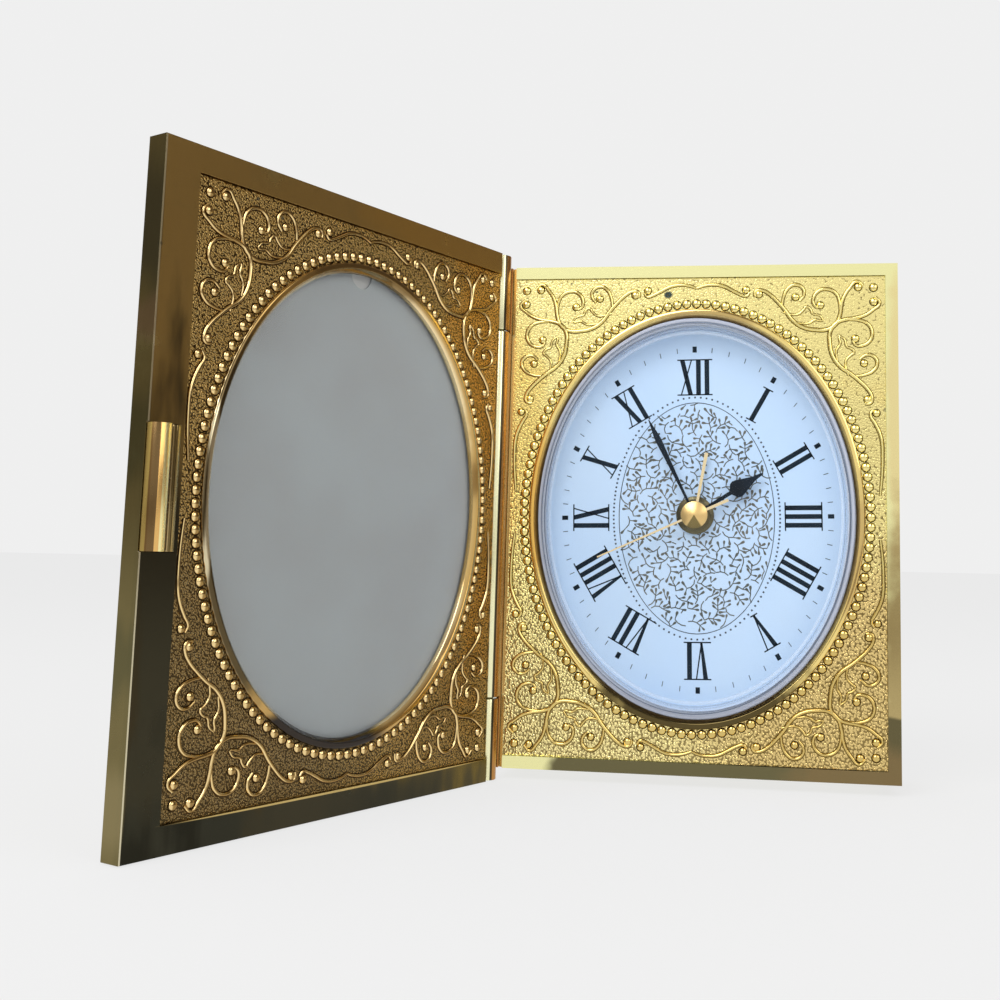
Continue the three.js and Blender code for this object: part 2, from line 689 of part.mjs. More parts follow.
/** Fixed pieces of the movement. */
function addMovement(leaf) {
  place(leaf, 'movement_front_plate', frontPlate(), 0x2b2b2d, 0, 0.6);
  place(leaf, 'movement_housing', movementHousing(), 0x1e1e20, 0, 0.6);
  const nut = rod(nutRadius, nutTop - nutThickness, nutTop, [0, 0], 24, 0.92 * nutRadius)
    .subtract(rod(bushRadius + runningGap, nutTop - 2, nutTop + 1, [0, 0], 24));
  place(leaf, 'mounting_nut', nut, 0x3a3428, 1, 0.45);
  const core = block(coilX - coreHalf, coilX + coreHalf, -coreEnd, coreEnd, coreBack, coreFront);
  place(leaf, 'coil_core', core, 0x8d8f92, 1, 0.4);
  const spool = block(coilX - spoolHalf, coilX + spoolHalf, -spoolEnd, spoolEnd, coreZ - 1, coreZ + 1)
    .add(barY(windingRadius + 2 * seat, -spoolEnd, -spoolEnd + spoolFlange, coilX, coreZ, 20))
    .add(barY(windingRadius + 2 * seat, spoolEnd - spoolFlange, spoolEnd, coilX, coreZ, 20))
    .subtract(block(
      coilX - coreHalf - seat, coilX + coreHalf + seat, -spoolEnd - 1, spoolEnd + 1,
      coreBack - seat, coreFront + seat,
    ));
  place(leaf, 'coil_bobbin', spool, 0xe6e2d6, 0, 0.6);
  const windingEnd = spoolEnd - spoolFlange - seat;
  const winding = barY(windingRadius, -windingEnd, windingEnd, coilX, coreZ, 24)
    .subtract(block(
      coilX - spoolHalf - seat, coilX + spoolHalf + seat, -spoolEnd, spoolEnd,
      coreZ - 1 - seat, coreZ + 1 + seat,
    ));
  place(leaf, 'coil_winding', winding, 0xb0642c, 1, 0.4);
  const spineRight = coilX - windingRadius - 0.5;
  const spineLeft = spineRight - statorSpine;
  const coilRight = coilX + coreHalf;
  const yokeLeft = rotorX - statorYoke;
  const armTop = coreEnd - 2 * seat;
  const armFoot = spoolEnd + seat;
  const stator = slab([
    [yokeLeft, -statorYoke], [spineLeft, -statorYoke], [spineLeft, -armTop], [coilRight, -armTop],
    [coilRight, -armFoot], [spineRight, -armFoot], [spineRight, armFoot], [coilRight, armFoot],
    [coilRight, armTop], [spineLeft, armTop], [spineLeft, statorYoke], [yokeLeft, statorYoke],
  ], statorBack, statorFront).subtract(rod(statorHole, statorBack - 1, statorFront + 1, rotorSpot, 20));
  place(leaf, 'stator', stator, 0x9a9c9f, 1, 0.4);
  const boardFront = boardBack + boardSheet;
  const blobSpot = [boardLeft + 2.5 * blobRadius, boardMiddle];
  const boardRight = boardLeft + boardWidth;
  const boardLow = boardTop - boardHeight;
  const board = block(boardLeft, boardRight, boardLow, boardTop, boardBack, boardFront)
    .add(rod(blobRadius, boardFront - 0.2, boardFront + 0.7, blobSpot, 16, 0.7 * blobRadius));
  place(leaf, 'circuit_board', board, 0x2f6b3a, 0, 0.6);
  const canLeft = boardRight - canLength - 2 * canRadius;
  const quartz = barX(canRadius, canLeft, canLeft + canLength, boardMiddle, boardFront + seat + canRadius);
  place(leaf, 'quartz_can', quartz, 0xc4c6c8, 1, 0.3);
  const buzzerFront = boardBack + buzzerThickness;
  const buzzer = rod(buzzerRadius, boardBack, buzzerFront, buzzerSpot, 28)
    .subtract(rod(buzzerHole, buzzerFront - 0.6, buzzerFront + 1, buzzerSpot, 12));
  place(leaf, 'buzzer', buzzer, 0x2a2a2a, 0, 0.5);
  const screw = rod(moveScrewHead, housingBack - 0.9, housingBack - seat, [0, 0], 16)
    .add(rod(moveScrewRadius, housingBack - seat, frontPlateBack + pivotDepth, [0, 0], 12));
  placeEach(leaf, 'movement_screw', screw, moveScrewSpots, 0xb8b8b8);
}

/** Battery, its contacts and its sliding door. */
function addBattery(leaf) {
  const batteryFoot = -batteryLength / 2;
  const cell = barY(batteryRadius, batteryFoot, -batteryFoot, bayCentre, batteryZ, 24)
    .add(barY(batteryButton, -batteryFoot - 0.2, -batteryFoot + 0.8, bayCentre, batteryZ, 16));
  place(leaf, 'battery', cell, 0x3b4a5c, 0.6, 0.4);
  const contactTop = roomTop - seat;
  const plateFace = contactTop - contactSheet;
  const contact = (y0, y1) => block(
    bayCentre - batteryRadius, bayCentre + batteryRadius, y0, y1,
    batteryZ - contactHalf, batteryZ + contactHalf,
  );
  const minus = contact(-contactTop, -plateFace)
    .add(barY(springRadius, -plateFace - 0.2, batteryFoot - seat, bayCentre, batteryZ, 16));
  place(leaf, 'battery_contact_negative', minus, 0xc9c9c9, 1, 0.3);
  const plus = contact(plateFace, contactTop)
    .add(barY(0.8 * batteryButton, -batteryFoot + 0.8 + seat, plateFace + 0.2, bayCentre, batteryZ, 16));
  place(leaf, 'battery_contact_positive', plus, 0xc9c9c9, 1, 0.3);
  let door = block(-halfMoveW, bayRight, -doorTop, doorTop, doorBack, doorFront);
  for (const step of [-3, -2, -1]) {
    const y = 2.5 * doorRib * step;
    const rib = [bayCentre - doorRibHalf, bayCentre + doorRibHalf, y, y + doorRib];
    door = door.add(block(...rib, doorBack - 0.15, doorBack + 0.1));
  }
  place(leaf, 'battery_door', door, 0x1e1e20, 0, 0.6);
}

/** Setting knobs with their arbors and wheels, and the alarm switch. */
function addSetting(leaf) {
  const knobFront = housingBack - 2 * seat;
  const arborTop = frontPlateBack + pivotDepth - 0.15;
  const knob = () => slab(toothOutline(20, (2 * knobRadius) / 20, 0), knobFront - knobHeight, knobFront)
    .intersect(rod(knobRadius + 0.05, knobFront - knobHeight, knobFront, [0, 0], 24))
    .add(rod(setArborRadius, knobFront - 0.2, arborTop, [0, 0], 12));
  const timeKnob = place(leaf, 'time_set_knob', knob(), 0x26262a, 0, 0.6);
  timeKnob.position.set(...motionSpot, 0);
  const bore = rod(setArborRadius + 0.05, secondLayer, frontPlateBack, [0, 0], 12);
  const motionPhase = meshPhase(motionBearing, cannonTeeth, motionTeeth);
  const motion = wheel(motionTeeth, motionModule, motionLayer, wheelSheet, motionPhase)
    .add(wheel(motionPinionTeeth, hourModule, hourLayer, pinionLength))
    .add(rod(setArborRadius + 0.4, motionLayer, hourLayer, [0, 0], 12))
    .subtract(bore);
  place(leaf, 'motion_work_wheel', motion, 0xe2dccb, 0, 0.6).position.set(...motionSpot, 0);
  const alarmKnob = place(leaf, 'alarm_set_knob', knob(), 0x26262a, 0, 0.6);
  alarmKnob.position.set(...alarmSetSpot, 0);
  const alarmSet = wheel(alarmSetTeeth, alarmModule, alarmLayer, wheelSheet).subtract(bore);
  place(leaf, 'alarm_setting_wheel', alarmSet, 0xe2dccb, 0, 0.6).position.set(...alarmSetSpot, 0);
  const [sx, sy] = switchSpot;
  const neck = switchNeck / 2;
  const reach = neck + switchLip;
  const slider = block(sx - neck, sx + neck, sy - 1, sy + 1, housingBack - 1, housingInner + 0.5)
    .add(block(sx - reach, sx + reach, sy - 2, sy + 2, housingInner + seat, housingInner + 0.6))
    .add(block(sx - reach, sx + reach, sy - 1.8, sy + 1.8, housingBack - 1.1, housingBack - seat))
    .add(block(sx - 0.5, sx + 0.5, sy - 1.8, sy + 1.8, housingBack - 1.8, housingBack - 1));
  place(leaf, 'alarm_switch', slider, 0xb8322a, 0, 0.5);
}

/** Central stack: wheels with their pipes, and the hands on them. */
function addCentralStack(leaf) {
  const pipe = (inner, from, to) => rod(inner + pipeWall, from, to);
  const hollow = (inner) => rod(inner, secondLayer, capBase);
  const plastic = 0xe6e0d0;
  const alarmPhase = meshPhase(alarmSetBearing + 180, alarmSetTeeth, alarmTeeth);
  const alarmWheel = wheel(alarmTeeth, alarmModule, alarmLayer, wheelSheet, alarmPhase)
    .add(pipe(alarmPipe, alarmLayer - 0.2, alarmHandTop + 0.05))
    .subtract(hollow(alarmPipe));
  place(leaf, 'alarm_wheel', alarmWheel, plastic, 0, 0.6);
  const hourPhase = meshPhase(motionBearing + 180, motionPinionTeeth, hourTeeth);
  const hourWheel = wheel(hourTeeth, hourModule, hourLayer, wheelSheet, hourPhase)
    .add(pipe(hourPipe, hourLayer - 0.2, hourHandTop + 0.05))
    .subtract(hollow(hourPipe));
  place(leaf, 'hour_wheel', hourWheel, plastic, 0, 0.6);
  const cannon = wheel(cannonTeeth, motionModule, motionLayer, pinionLength)
    .add(pipe(minutePipe, motionLayer - pinionLength / 2, minuteHandTop + 0.05))
    .subtract(hollow(minutePipe));
  place(leaf, 'cannon_pinion', cannon, 0xc8a050, 1, 0.35);
  const centrePhase = meshPhase(thirdBearing + 180, thirdPinionTeeth, centreTeeth);
  const centre = wheel(centreTeeth, centreModule, centreLayer, wheelSheet, centrePhase)
    .add(rod(1.2, centreLayer, motionLayer - pinionLength / 2 - seat, [0, 0], 16))
    .subtract(hollow(minutePipe));
  place(leaf, 'centre_wheel', centre, plastic, 0, 0.6);
  const second = wheel(secondTeeth, secondModule, secondLayer, wheelSheet)
    .add(wheel(secondPinionTeeth, trainModule, thirdLayer, pinionLength))
    .add(rod(secondArbor + 0.25, secondLayer - 0.1, thirdLayer, [0, 0], 12))
    .add(rod(secondArbor, housingInner - pivotDepth + 0.1, capBase + 0.1, [0, 0], 12));
  place(leaf, 'second_wheel', second, plastic, 0, 0.6);
  addHands(leaf);
}

/** Hands and the cap over their hub, each turned to the time it shows. */
function addHands(leaf) {
  const turn = (piece, angle) => piece.rotation.set(0, 0, -THREE.MathUtils.degToRad(angle));
  const black = 0x10181e;
  const gold = 0xd8bf86;
  const alarm = hand(
    [[1, 0.25], [0.7 * alarmReach, 0.3], [alarmReach - 0.1, 0.35], [alarmReach, 0.25]],
    alarmHandTop, alarmPipe + pipeWall + 0.6, alarmPipe + pipeWall + runningGap,
  );
  turn(place(leaf, 'alarm_hand', alarm, gold, 1, 0.3), alarmAngle);
  const hour = hand(
    [[0.06, 0.3], [0.53, 0.38], [0.555, 0.9], [0.58, 1.5], [0.62, 1.72], [0.665, 1.62], [0.755, 1.1],
      [0.877, 0.45], [0.974, 0.26], [1, 0.1]].map(([share, half]) => [share * hourReach, half]),
    hourHandTop, hourPipe + pipeWall + 0.7, hourPipe + pipeWall + runningGap,
  );
  turn(place(leaf, 'hour_hand', hour, black, 0, 0.5), hourAngle);
  const minute = hand(
    [[0.05, 0.24], [0.29, 0.28], [0.58, 0.46], [0.783, 0.62], [0.831, 0.55], [0.899, 0.36], [1, 0.08]]
      .map(([share, half]) => [share * minuteReach, half]),
    minuteHandTop, minutePipe + pipeWall + 0.8, minutePipe + pipeWall + runningGap,
  );
  turn(place(leaf, 'minute_hand', minute, black, 0, 0.5), minuteAngle);
  const second = hand(
    [[-secondTail, 0.3], [-2, 0.26], [2, 0.22], [secondReach, 0.14]],
    secondHandTop, secondArbor + 0.9, secondArbor + runningGap,
  );
  turn(place(leaf, 'second_hand', second, gold, 1, 0.25), secondAngle);
  const cap = turned([
    [0, capBase], [capRadius, capBase], [capRadius, capBase + 0.15],
    [0.5 * capRadius, capBase + 0.7 * capHeight], [0, capBase + capHeight],
  ]).subtract(rod(secondArbor + runningGap, capBase - 1, capBase + 0.25, [0, 0], 12));
  place(leaf, 'second_hand_cap', cap, 0xe0b45c, 1, 0.25);
}

/** Rotor, intermediate wheel and third wheel on arbors of their own. */
function addTrain(leaf) {
  const arbor = () => rod(
    arborRadius, housingInner - pivotDepth + 0.1, frontPlateBack + pivotDepth - 0.1, [0, 0], 12,
  );
  const plastic = 0xe6e0d0;
  const pinionPhase = meshPhase(0, secondTeeth, intermediatePinionTeeth);
  const intermediate = wheel(intermediateTeeth, rotorModule, thirdLayer, wheelSheet)
    .add(wheel(intermediatePinionTeeth, secondModule, secondLayer, pinionLength, pinionPhase))
    .add(rod(arborRadius + 0.25, secondLayer, thirdLayer, [0, 0], 12))
    .add(arbor());
  place(leaf, 'intermediate_wheel', intermediate, plastic, 0, 0.6).position.set(...intermediateSpot, 0);
  const magnetMiddle = (statorFront + statorBack) / 2;
  const rotorPhase = meshPhase(0, intermediateTeeth, rotorPinionTeeth);
  const rotor = wheel(rotorPinionTeeth, rotorModule, thirdLayer, pinionLength, rotorPhase)
    .add(rod(magnetRadius, magnetMiddle - 0.6, magnetMiddle + magnetLength - 0.6, [0, 0], 20))
    .add(arbor());
  place(leaf, 'rotor', rotor, 0x55565a, 0.6, 0.5).position.set(...rotorSpot, 0);
  const thirdPhase = meshPhase(thirdBearing, secondPinionTeeth, thirdTeeth);
  const third = wheel(thirdTeeth, trainModule, thirdLayer, wheelSheet, thirdPhase)
    .add(wheel(thirdPinionTeeth, centreModule, centreLayer, pinionLength))
    .add(rod(arborRadius + 0.2, thirdLayer, centreLayer, [0, 0], 12))
    .add(arbor());
  place(leaf, 'third_wheel', third, plastic, 0, 0.6).position.set(...thirdSpot, 0);
}

/** Lid frame: wide rim on three sides, ledge for the plate, bar on the hinge side, pocket at the back. */
function lidFrame() {
  const pocketX = halfW + lidPocket;
  const pocketY = halfH + lidPocket;
  const backY = lidTop - lidCoverInset;
  let frame = block(lidLeft, lidRight, -lidTop, lidTop, lidBack, rimHeight)
    .subtract(block(-pocketX, lidRight + 1, -pocketY, pocketY, ledgeTop, rimHeight + 1))
    .subtract(block(-ledgeX, ledgeX, -ledgeY, ledgeY, lidBack - 1, rimHeight + 1))
    .subtract(block(lidLeft + lidCoverInset, lidRight + 1, -backY, backY, lidBack - 1, lidCoverSeat))
    .subtract(block(ledgeX - 0.05, lidRight + 1, -backY, backY, lidBack - 1, barBack))
    .subtract(block(
      lidLeft - 1, claspInner + seat, -claspLength / 2 - seat, claspLength / 2 + seat,
      rimHeight - claspPocket, rimHeight + 1,
    ));
  for (const y of studHeights) {
    frame = frame.subtract(rod(studRadius + lidSeat, studFoot - lidSeat, rimHeight + 1, [claspX, y], 12));
  }
  return frame;
}

/** Half-round clasp bead on a stepped base strip, with two studs into the rim. */
function clasp() {
  const half = claspLength / 2;
  const top = claspBase + claspSheet;
  let body = barY(claspBead, -half, half, claspX, rimHeight, 24)
    .intersect(block(claspOuter - 1, claspInner, -half, half, claspBase, rimHeight + claspBead))
    .add(block(claspOuter, claspInner, -half, half, claspBase, top));
  for (const step of [0, 1]) {
    const right = claspInner - claspRidgeInset - step * claspRidgePitch;
    body = body.add(block(right - claspRidgeWidth, right, -half, half, claspBase, top + claspRidge));
  }
  for (const y of studHeights) {
    body = body.add(rod(studRadius, studFoot, top, [claspX, y], 12));
  }
  return body;
}

/** Lid: frame, plate, bezel, window, card, pad, back sheet, hinge leaf and clasp. */
function addLid(lid) {
  place(lid, 'lid_frame', lidFrame(), 0xb8914e, 1, 0.35);
  place(lid, 'lid_ornament_plate', ornamentPlate(), 0xb58b4c, 1, 0.35);
  place(lid, 'lid_bezel', bezel(lidNeckBack), 0xc9a266, 1, 0.15);
  const x = ledgeX - 2 * lidSeat;
  const y = ledgeY - 2 * lidSeat;
  place(lid, 'lid_window', block(-x, x, -y, y, windowBack, windowFront), 0xe8eef2, 0, 0.05);
  const notchHalf = notchWidth / 2;
  const notchMiddle = sightB - notchDepth + notchHalf;
  const card = block(-x, x, -y, y, cardBack, cardFront)
    .subtract(block(-notchHalf, notchHalf, notchMiddle, y + 1, cardBack - 1, cardFront + 1))
    .subtract(rod(notchHalf, cardBack - 1, cardFront + 1, [0, notchMiddle]));
  place(lid, 'photo_card', card, 0x8b8b8d, 0, 0.8);
  place(lid, 'backing_pad', block(-x, x, -y, y, padBack, padFront), 0xb3afa6, 0, 0.9);
  const coverY = lidTop - lidCoverInset - lidSeat;
  const coverX = lidLeft + lidCoverInset + lidSeat;
  const cover = block(coverX, lidRight, -coverY, coverY, lidBack, lidCoverFront);
  place(lid, 'lid_back_cover', cover, 0xcaa65c, 1, 0.35);
  place(lid, 'lid_hinge_leaf', lidHingeLeaf(coverY), 0xc9a266, 1, 0.3);
  place(lid, 'clasp', clasp(), 0xd9b06a, 1, 0.2);
}

/** Lid side of the hinge: a strip under the bar and a knuckle at each end. */
function lidHingeLeaf(stripEnd) {
  const from = knuckleSplit + knuckleGap;
  const knuckleX = -axisX;
  let hingeLeaf = block(ledgeX + 0.1, lidRight, -stripEnd, stripEnd, lidLeafBack, lidLeafFront);
  for (const side of [-1, 1]) {
    const [y0, y1] = side < 0 ? [-lidTop, -from] : [from, lidTop];
    const [s0, s1] = side < 0 ? [-stripEnd, -from] : [from, stripEnd];
    hingeLeaf = hingeLeaf
      .add(block(lidRight - 0.5, knuckleX, s0, s1, lidLeafBack, lidLeafFront))
      .add(block(lidRight + lidSeat, knuckleX, y0, y1, lidLeafBack, lidLeafFront))
      .add(barY(knuckleRadius, y0, y1, knuckleX, lidAxisZ));
  }
  return hingeLeaf.subtract(barY(boreRadius, -lidTop - 1, lidTop + 1, knuckleX, lidAxisZ, 16));
}

const group = new THREE.Group();
const clockLeaf = new THREE.Group();
clockLeaf.rotation.set(Math.PI / 2, 0, 0);
clockLeaf.position.set(-(frameLeft + frameRight) / 2, (coverFront + coverBack) / 2, coverTop);
group.add(clockLeaf);
addCase(clockLeaf);
addHinge(clockLeaf);
addMovement(clockLeaf);
addBattery(clockLeaf);
addSetting(clockLeaf);
addCentralStack(clockLeaf);
addTrain(clockLeaf);

const hingeAxis = new THREE.Group();
hingeAxis.position.set(axisX, 0, axisZ);
hingeAxis.rotation.set(0, THREE.MathUtils.degToRad(180 - leafOpening), 0);
clockLeaf.add(hingeAxis);
const lidLeaf = new THREE.Group();
lidLeaf.position.set(axisX, 0, -lidAxisZ);
hingeAxis.add(lidLeaf);
addLid(lidLeaf);

export default group;
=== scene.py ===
"""Folding desk clock with an oval picture lid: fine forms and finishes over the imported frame."""

import logging
import math
import random
from dataclasses import dataclass
from enum import Enum
from typing import Iterable, Sequence

import bmesh
import bpy
from mathutils import Matrix, Vector


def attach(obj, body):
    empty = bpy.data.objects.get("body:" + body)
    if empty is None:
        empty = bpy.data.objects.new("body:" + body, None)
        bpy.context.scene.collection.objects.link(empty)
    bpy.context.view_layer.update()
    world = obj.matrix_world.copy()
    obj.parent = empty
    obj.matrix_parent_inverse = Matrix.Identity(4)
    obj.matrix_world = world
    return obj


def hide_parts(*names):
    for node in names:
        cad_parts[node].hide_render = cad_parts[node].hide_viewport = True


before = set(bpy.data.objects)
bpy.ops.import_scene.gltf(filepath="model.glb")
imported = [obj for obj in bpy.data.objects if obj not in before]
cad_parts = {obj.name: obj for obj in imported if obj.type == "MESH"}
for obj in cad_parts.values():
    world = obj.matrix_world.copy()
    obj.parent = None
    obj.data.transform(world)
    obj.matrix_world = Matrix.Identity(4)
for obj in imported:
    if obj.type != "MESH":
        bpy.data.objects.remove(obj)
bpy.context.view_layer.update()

LOG = logging.getLogger("folding_clock")
MM = 0.001

Point2 = tuple[float, float]
Point3 = tuple[float, float, float]
Stroke = tuple[list[Point2], float]
BMesh = bmesh.types.BMesh
Socket = bpy.types.NodeSocket
Value = Socket | float
Tone = Socket | Point3


# Places

@dataclass(frozen=True)
class Leaf:
    """One leaf of the clock: X across, Y up, Z out of its face, in millimetres.

    Args:
        body: CAD body that the leaf's pieces ride on.
        matrix: turn and shift from the leaf's own axes to the row's, in millimetres.
    """

    body: str
    matrix: Matrix

    def world(self) -> Matrix:
        """Matrix from leaf millimetres to row metres."""
        return Matrix.Scale(MM, 4) @ self.matrix


# The hinge axis in the clock leaf's X and Z, its height in the lid's own Z, and how far the lid is open.
HINGE_X = -38.85
HINGE_Z = 2.55
LID_AXIS_Z = -1.15
LEAF_OPENING = 114.5

_CLOCK_MATRIX = Matrix.Translation((-0.875, -15.75, 51.0)) @ Matrix.Rotation(math.pi / 2, 4, "X")
_LID_MATRIX = (
    _CLOCK_MATRIX
    @ Matrix.Translation((HINGE_X, 0, HINGE_Z))
    @ Matrix.Rotation(math.radians(180 - LEAF_OPENING), 4, "Y")
    @ Matrix.Translation((HINGE_X, 0, -LID_AXIS_Z))
)
CLOCK = Leaf("clock", _CLOCK_MATRIX)
LID = Leaf("lid", _LID_MATRIX)

# Half size of the ornament plates, half size of the sight ovals, and height of the rims' front.
HALF_W = 36.4
HALF_H = 46.7
SIGHT_A = 30.85
SIGHT_B = 38.85
RIM_TOP = 0.5


# Mesh tools

def merged(target: BMesh, part: BMesh, move: Matrix | None = None) -> None:
    """Adds a part to a target mesh and frees the part.

    Args:
        target: mesh that takes the part.
        part: mesh that is used up.
        move: placement of the part in the target.
    """
    mesh = bpy.data.meshes.new("part")
    part.to_mesh(mesh)
    part.free()
    if move is not None:
        mesh.transform(move)
    target.from_mesh(mesh)
    bpy.data.meshes.remove(mesh)


def turned(profile: Sequence[Point2], steps: int = 72, closed: bool = False) -> BMesh:
    """Spins a profile of radius and height about Z.

    Args:
        profile: points from axis to axis, or a loop when closed.
        steps: number of faces round.
        closed: whether the last point joins the first.

    Returns:
        The turned mesh.
    """
    bm = bmesh.new()
    verts = [bm.verts.new((r, 0, z)) for r, z in profile]
    edges = [bm.edges.new(pair) for pair in zip(verts, verts[1:])]
    if closed:
        edges.append(bm.edges.new((verts[-1], verts[0])))
    bmesh.ops.spin(
        bm, geom=verts + edges, angle=2 * math.pi, steps=steps, axis=(0, 0, 1), cent=(0, 0, 0),
        use_merge=True,
    )
    bmesh.ops.remove_doubles(bm, verts=bm.verts, dist=1e-5)
    bmesh.ops.recalc_face_normals(bm, faces=bm.faces)
    return bm


def oval_turned(profile: Sequence[Point2], steps: int = 160, closed: bool = True) -> BMesh:
    """Spins a profile round the sight oval.

    Args:
        profile: distance outside the sight oval, and height.
        steps: number of faces round.
        closed: whether the last point joins the first.

    Returns:
        The oval mesh.
    """
    bm = turned([(SIGHT_B + t, z) for t, z in profile], steps, closed)
    for vert in bm.verts:
        reach = math.hypot(vert.co.x, vert.co.y)
        if reach > 1e-6:
            vert.co.x *= (SIGHT_A + reach - SIGHT_B) / reach
    return bm


def arc(centre: Point2, radius: Point2, start: float, end: float, count: int) -> list[Point2]:
    """Points on an elliptic arc.

    Args:
        centre: middle of the ellipse.
        radius: half width and half height of the ellipse.
        start: first angle in degrees.
        end: last angle in degrees.
        count: number of steps between them.

    Returns:
        The points, both ends among them.
    """
    turns = [math.radians(start + (end - start) * i / count) for i in range(count + 1)]
    return [(centre[0] + radius[0] * math.cos(t), centre[1] + radius[1] * math.sin(t)) for t in turns]


def soften(bm: BMesh, edge: float, angle: float = 30.0) -> None:
    """Rounds the sharp edges of a mesh.

    Args:
        bm: mesh to change.
        edge: width of the rounding.
        angle: angle in degrees past which an edge counts as sharp.
    """
    sharp = [e for e in bm.edges if len(e.link_faces) == 2 and e.calc_face_angle(0) > math.radians(angle)]
    bmesh.ops.bevel(
        bm, geom=sharp, offset=edge, offset_type="OFFSET", segments=2, profile=0.5, affect="EDGES",
        material=-1, clamp_overlap=True,
    )


def block(low: Point3, high: Point3, edge: float = 0.0) -> BMesh:
    """Box between two corners.

    Args:
        low: corner with the lowest values.
        high: corner with the highest values.
        edge: width of the rounding of its edges, or zero.

    Returns:
        The box.
    """
    bm = bmesh.new()
    bmesh.ops.create_cube(bm, size=1.0)
    bmesh.ops.scale(bm, vec=Vector(high) - Vector(low), verts=bm.verts)
    bmesh.ops.translate(bm, vec=(Vector(high) + Vector(low)) / 2, verts=bm.verts)
    if edge > 0:
        soften(bm, edge)
    return bm


def bar(radius: float, start: Vector, end: Vector, edge: float) -> BMesh:
    """Round bar between two points.

    Args:
        radius: radius of the bar.
        start: middle of one end.
        end: middle of the other end.
        edge: width of the rounding of its ends.

    Returns:
        The bar.
    """
    bm = bmesh.new()
    axis = end - start
    bmesh.ops.create_cone(
        bm, cap_ends=True, segments=40, radius1=radius, radius2=radius, depth=axis.length,
    )
    soften(bm, edge, 60)
    turn = axis.to_track_quat("Z", "Y").to_matrix().to_4x4()
    bmesh.ops.transform(bm, matrix=Matrix.Translation((start + end) / 2) @ turn, verts=bm.verts)
    return bm


def raise_faces(bm: BMesh, faces: Sequence[bmesh.types.BMFace], rise: float) -> None:
    """Gives flat faces a thickness, upwards or downwards.

    Args:
        bm: mesh to change.
        faces: its flat faces.
        rise: height of the moved copy over the first faces.
    """
    raised = bmesh.ops.extrude_face_region(bm, geom=faces)["geom"]
    moved = [item for item in raised if isinstance(item, bmesh.types.BMVert)]
    bmesh.ops.translate(bm, vec=(0, 0, rise), verts=moved)
    bmesh.ops.recalc_face_normals(bm, faces=bm.faces)


def slab(outline: Sequence[Point2], low: float, high: float) -> BMesh:
    """Flat piece with a given outline.

    Args:
        outline: its corners in order.
        low: height of its lower face.
        high: height of its upper face.

    Returns:
        The piece.
    """
    bm = bmesh.new()
    face = bm.faces.new([bm.verts.new((x, y, low)) for x, y in outline])
    raise_faces(bm, [face], high - low)
    return bm


# Shader tools

class Sheet:
    """A node tree with short ways to add and join nodes."""

    def __init__(self, tree: bpy.types.NodeTree) -> None:
        """Wraps a node tree."""
        self.tree = tree

    def feed(self, node: bpy.types.Node, inputs: dict[str | int, object]) -> bpy.types.Node:
        """Sets or links the inputs of a node.

        Args:
            node: node to feed.
            inputs: values or linked sockets by the input's name or index.

        Returns:
            The same node.
        """
        for key, value in inputs.items():
            if isinstance(value, Socket):
                self.tree.links.new(value, node.inputs[key])
            else:
                node.inputs[key].default_value = value
        return node

    def add(self, kind: str, inputs: dict | None = None, **settings: object) -> bpy.types.Node:
        """Adds a node.

        Args:
            kind: node type without the ShaderNode prefix.
            inputs: values or linked sockets by the input's name or index.
            settings: node attributes.

        Returns:
            The new node.
        """
        node = self.tree.nodes.new("ShaderNode" + kind)
        for key, value in settings.items():
            setattr(node, key, value)
        return self.feed(node, inputs or {})

    def maths(self, operation: str, a: Value, b: Value = 0.5, clamp: bool = False) -> Socket:
        """Result of a Math node."""
        return self.add("Math", {0: a, 1: b}, operation=operation, use_clamp=clamp).outputs[0]

    def vector(self, operation: str, a: Socket, b: Tone = (0, 0, 0)) -> Socket:
        """Result of a Vector Math node: its value where it has one, and else its vector."""
        outputs = self.add("VectorMath", {0: a, 1: b}, operation=operation).outputs
        return outputs["Value" if operation in ("LENGTH", "DOT_PRODUCT") else "Vector"]

    def span(self, value: Value, start: Value, end: Value, low: float = 0.0, high: float = 1.0) -> Socket:
        """Value eased from one range to another.

        Args:
            value: value to map.
            start: value that gives low.
            end: value that gives high.
            low: result at the start.
            high: result at the end.

        Returns:
            The mapped value, held inside its new range.
        """
        node = self.add("MapRange", {
            "Value": value, "From Min": start, "From Max": end, "To Min": low, "To Max": high,
        }, interpolation_type="SMOOTHSTEP")
        return node.outputs["Result"]

    def blend(self, share: Value, under: Tone, over: Tone) -> Socket:
        """Colour that goes from one tone to another as the share goes from 0 to 1."""
        tones = [tone if isinstance(tone, Socket) else (*tone, 1.0) for tone in (under, over)]
        return self.add("Mix", {0: share, 6: tones[0], 7: tones[1]}, data_type="RGBA").outputs[2]


class Effect(Enum):
    """Shared surface effects, each a shader node group."""

    PEBBLE = "pebble_ground"
    TARNISH = "tarnish"
    GRAIN = "fine_grain"

    def tree(self) -> bpy.types.NodeTree:
        """The effect's node group, built the first time it is asked for.

        Returns:
            The node group.
        """
        known = bpy.data.node_groups.get(self.value)
        if known:
            return known
        builders = {Effect.PEBBLE: build_pebble, Effect.TARNISH: build_tarnish, Effect.GRAIN: build_grain}
        return builders[self](self.value)


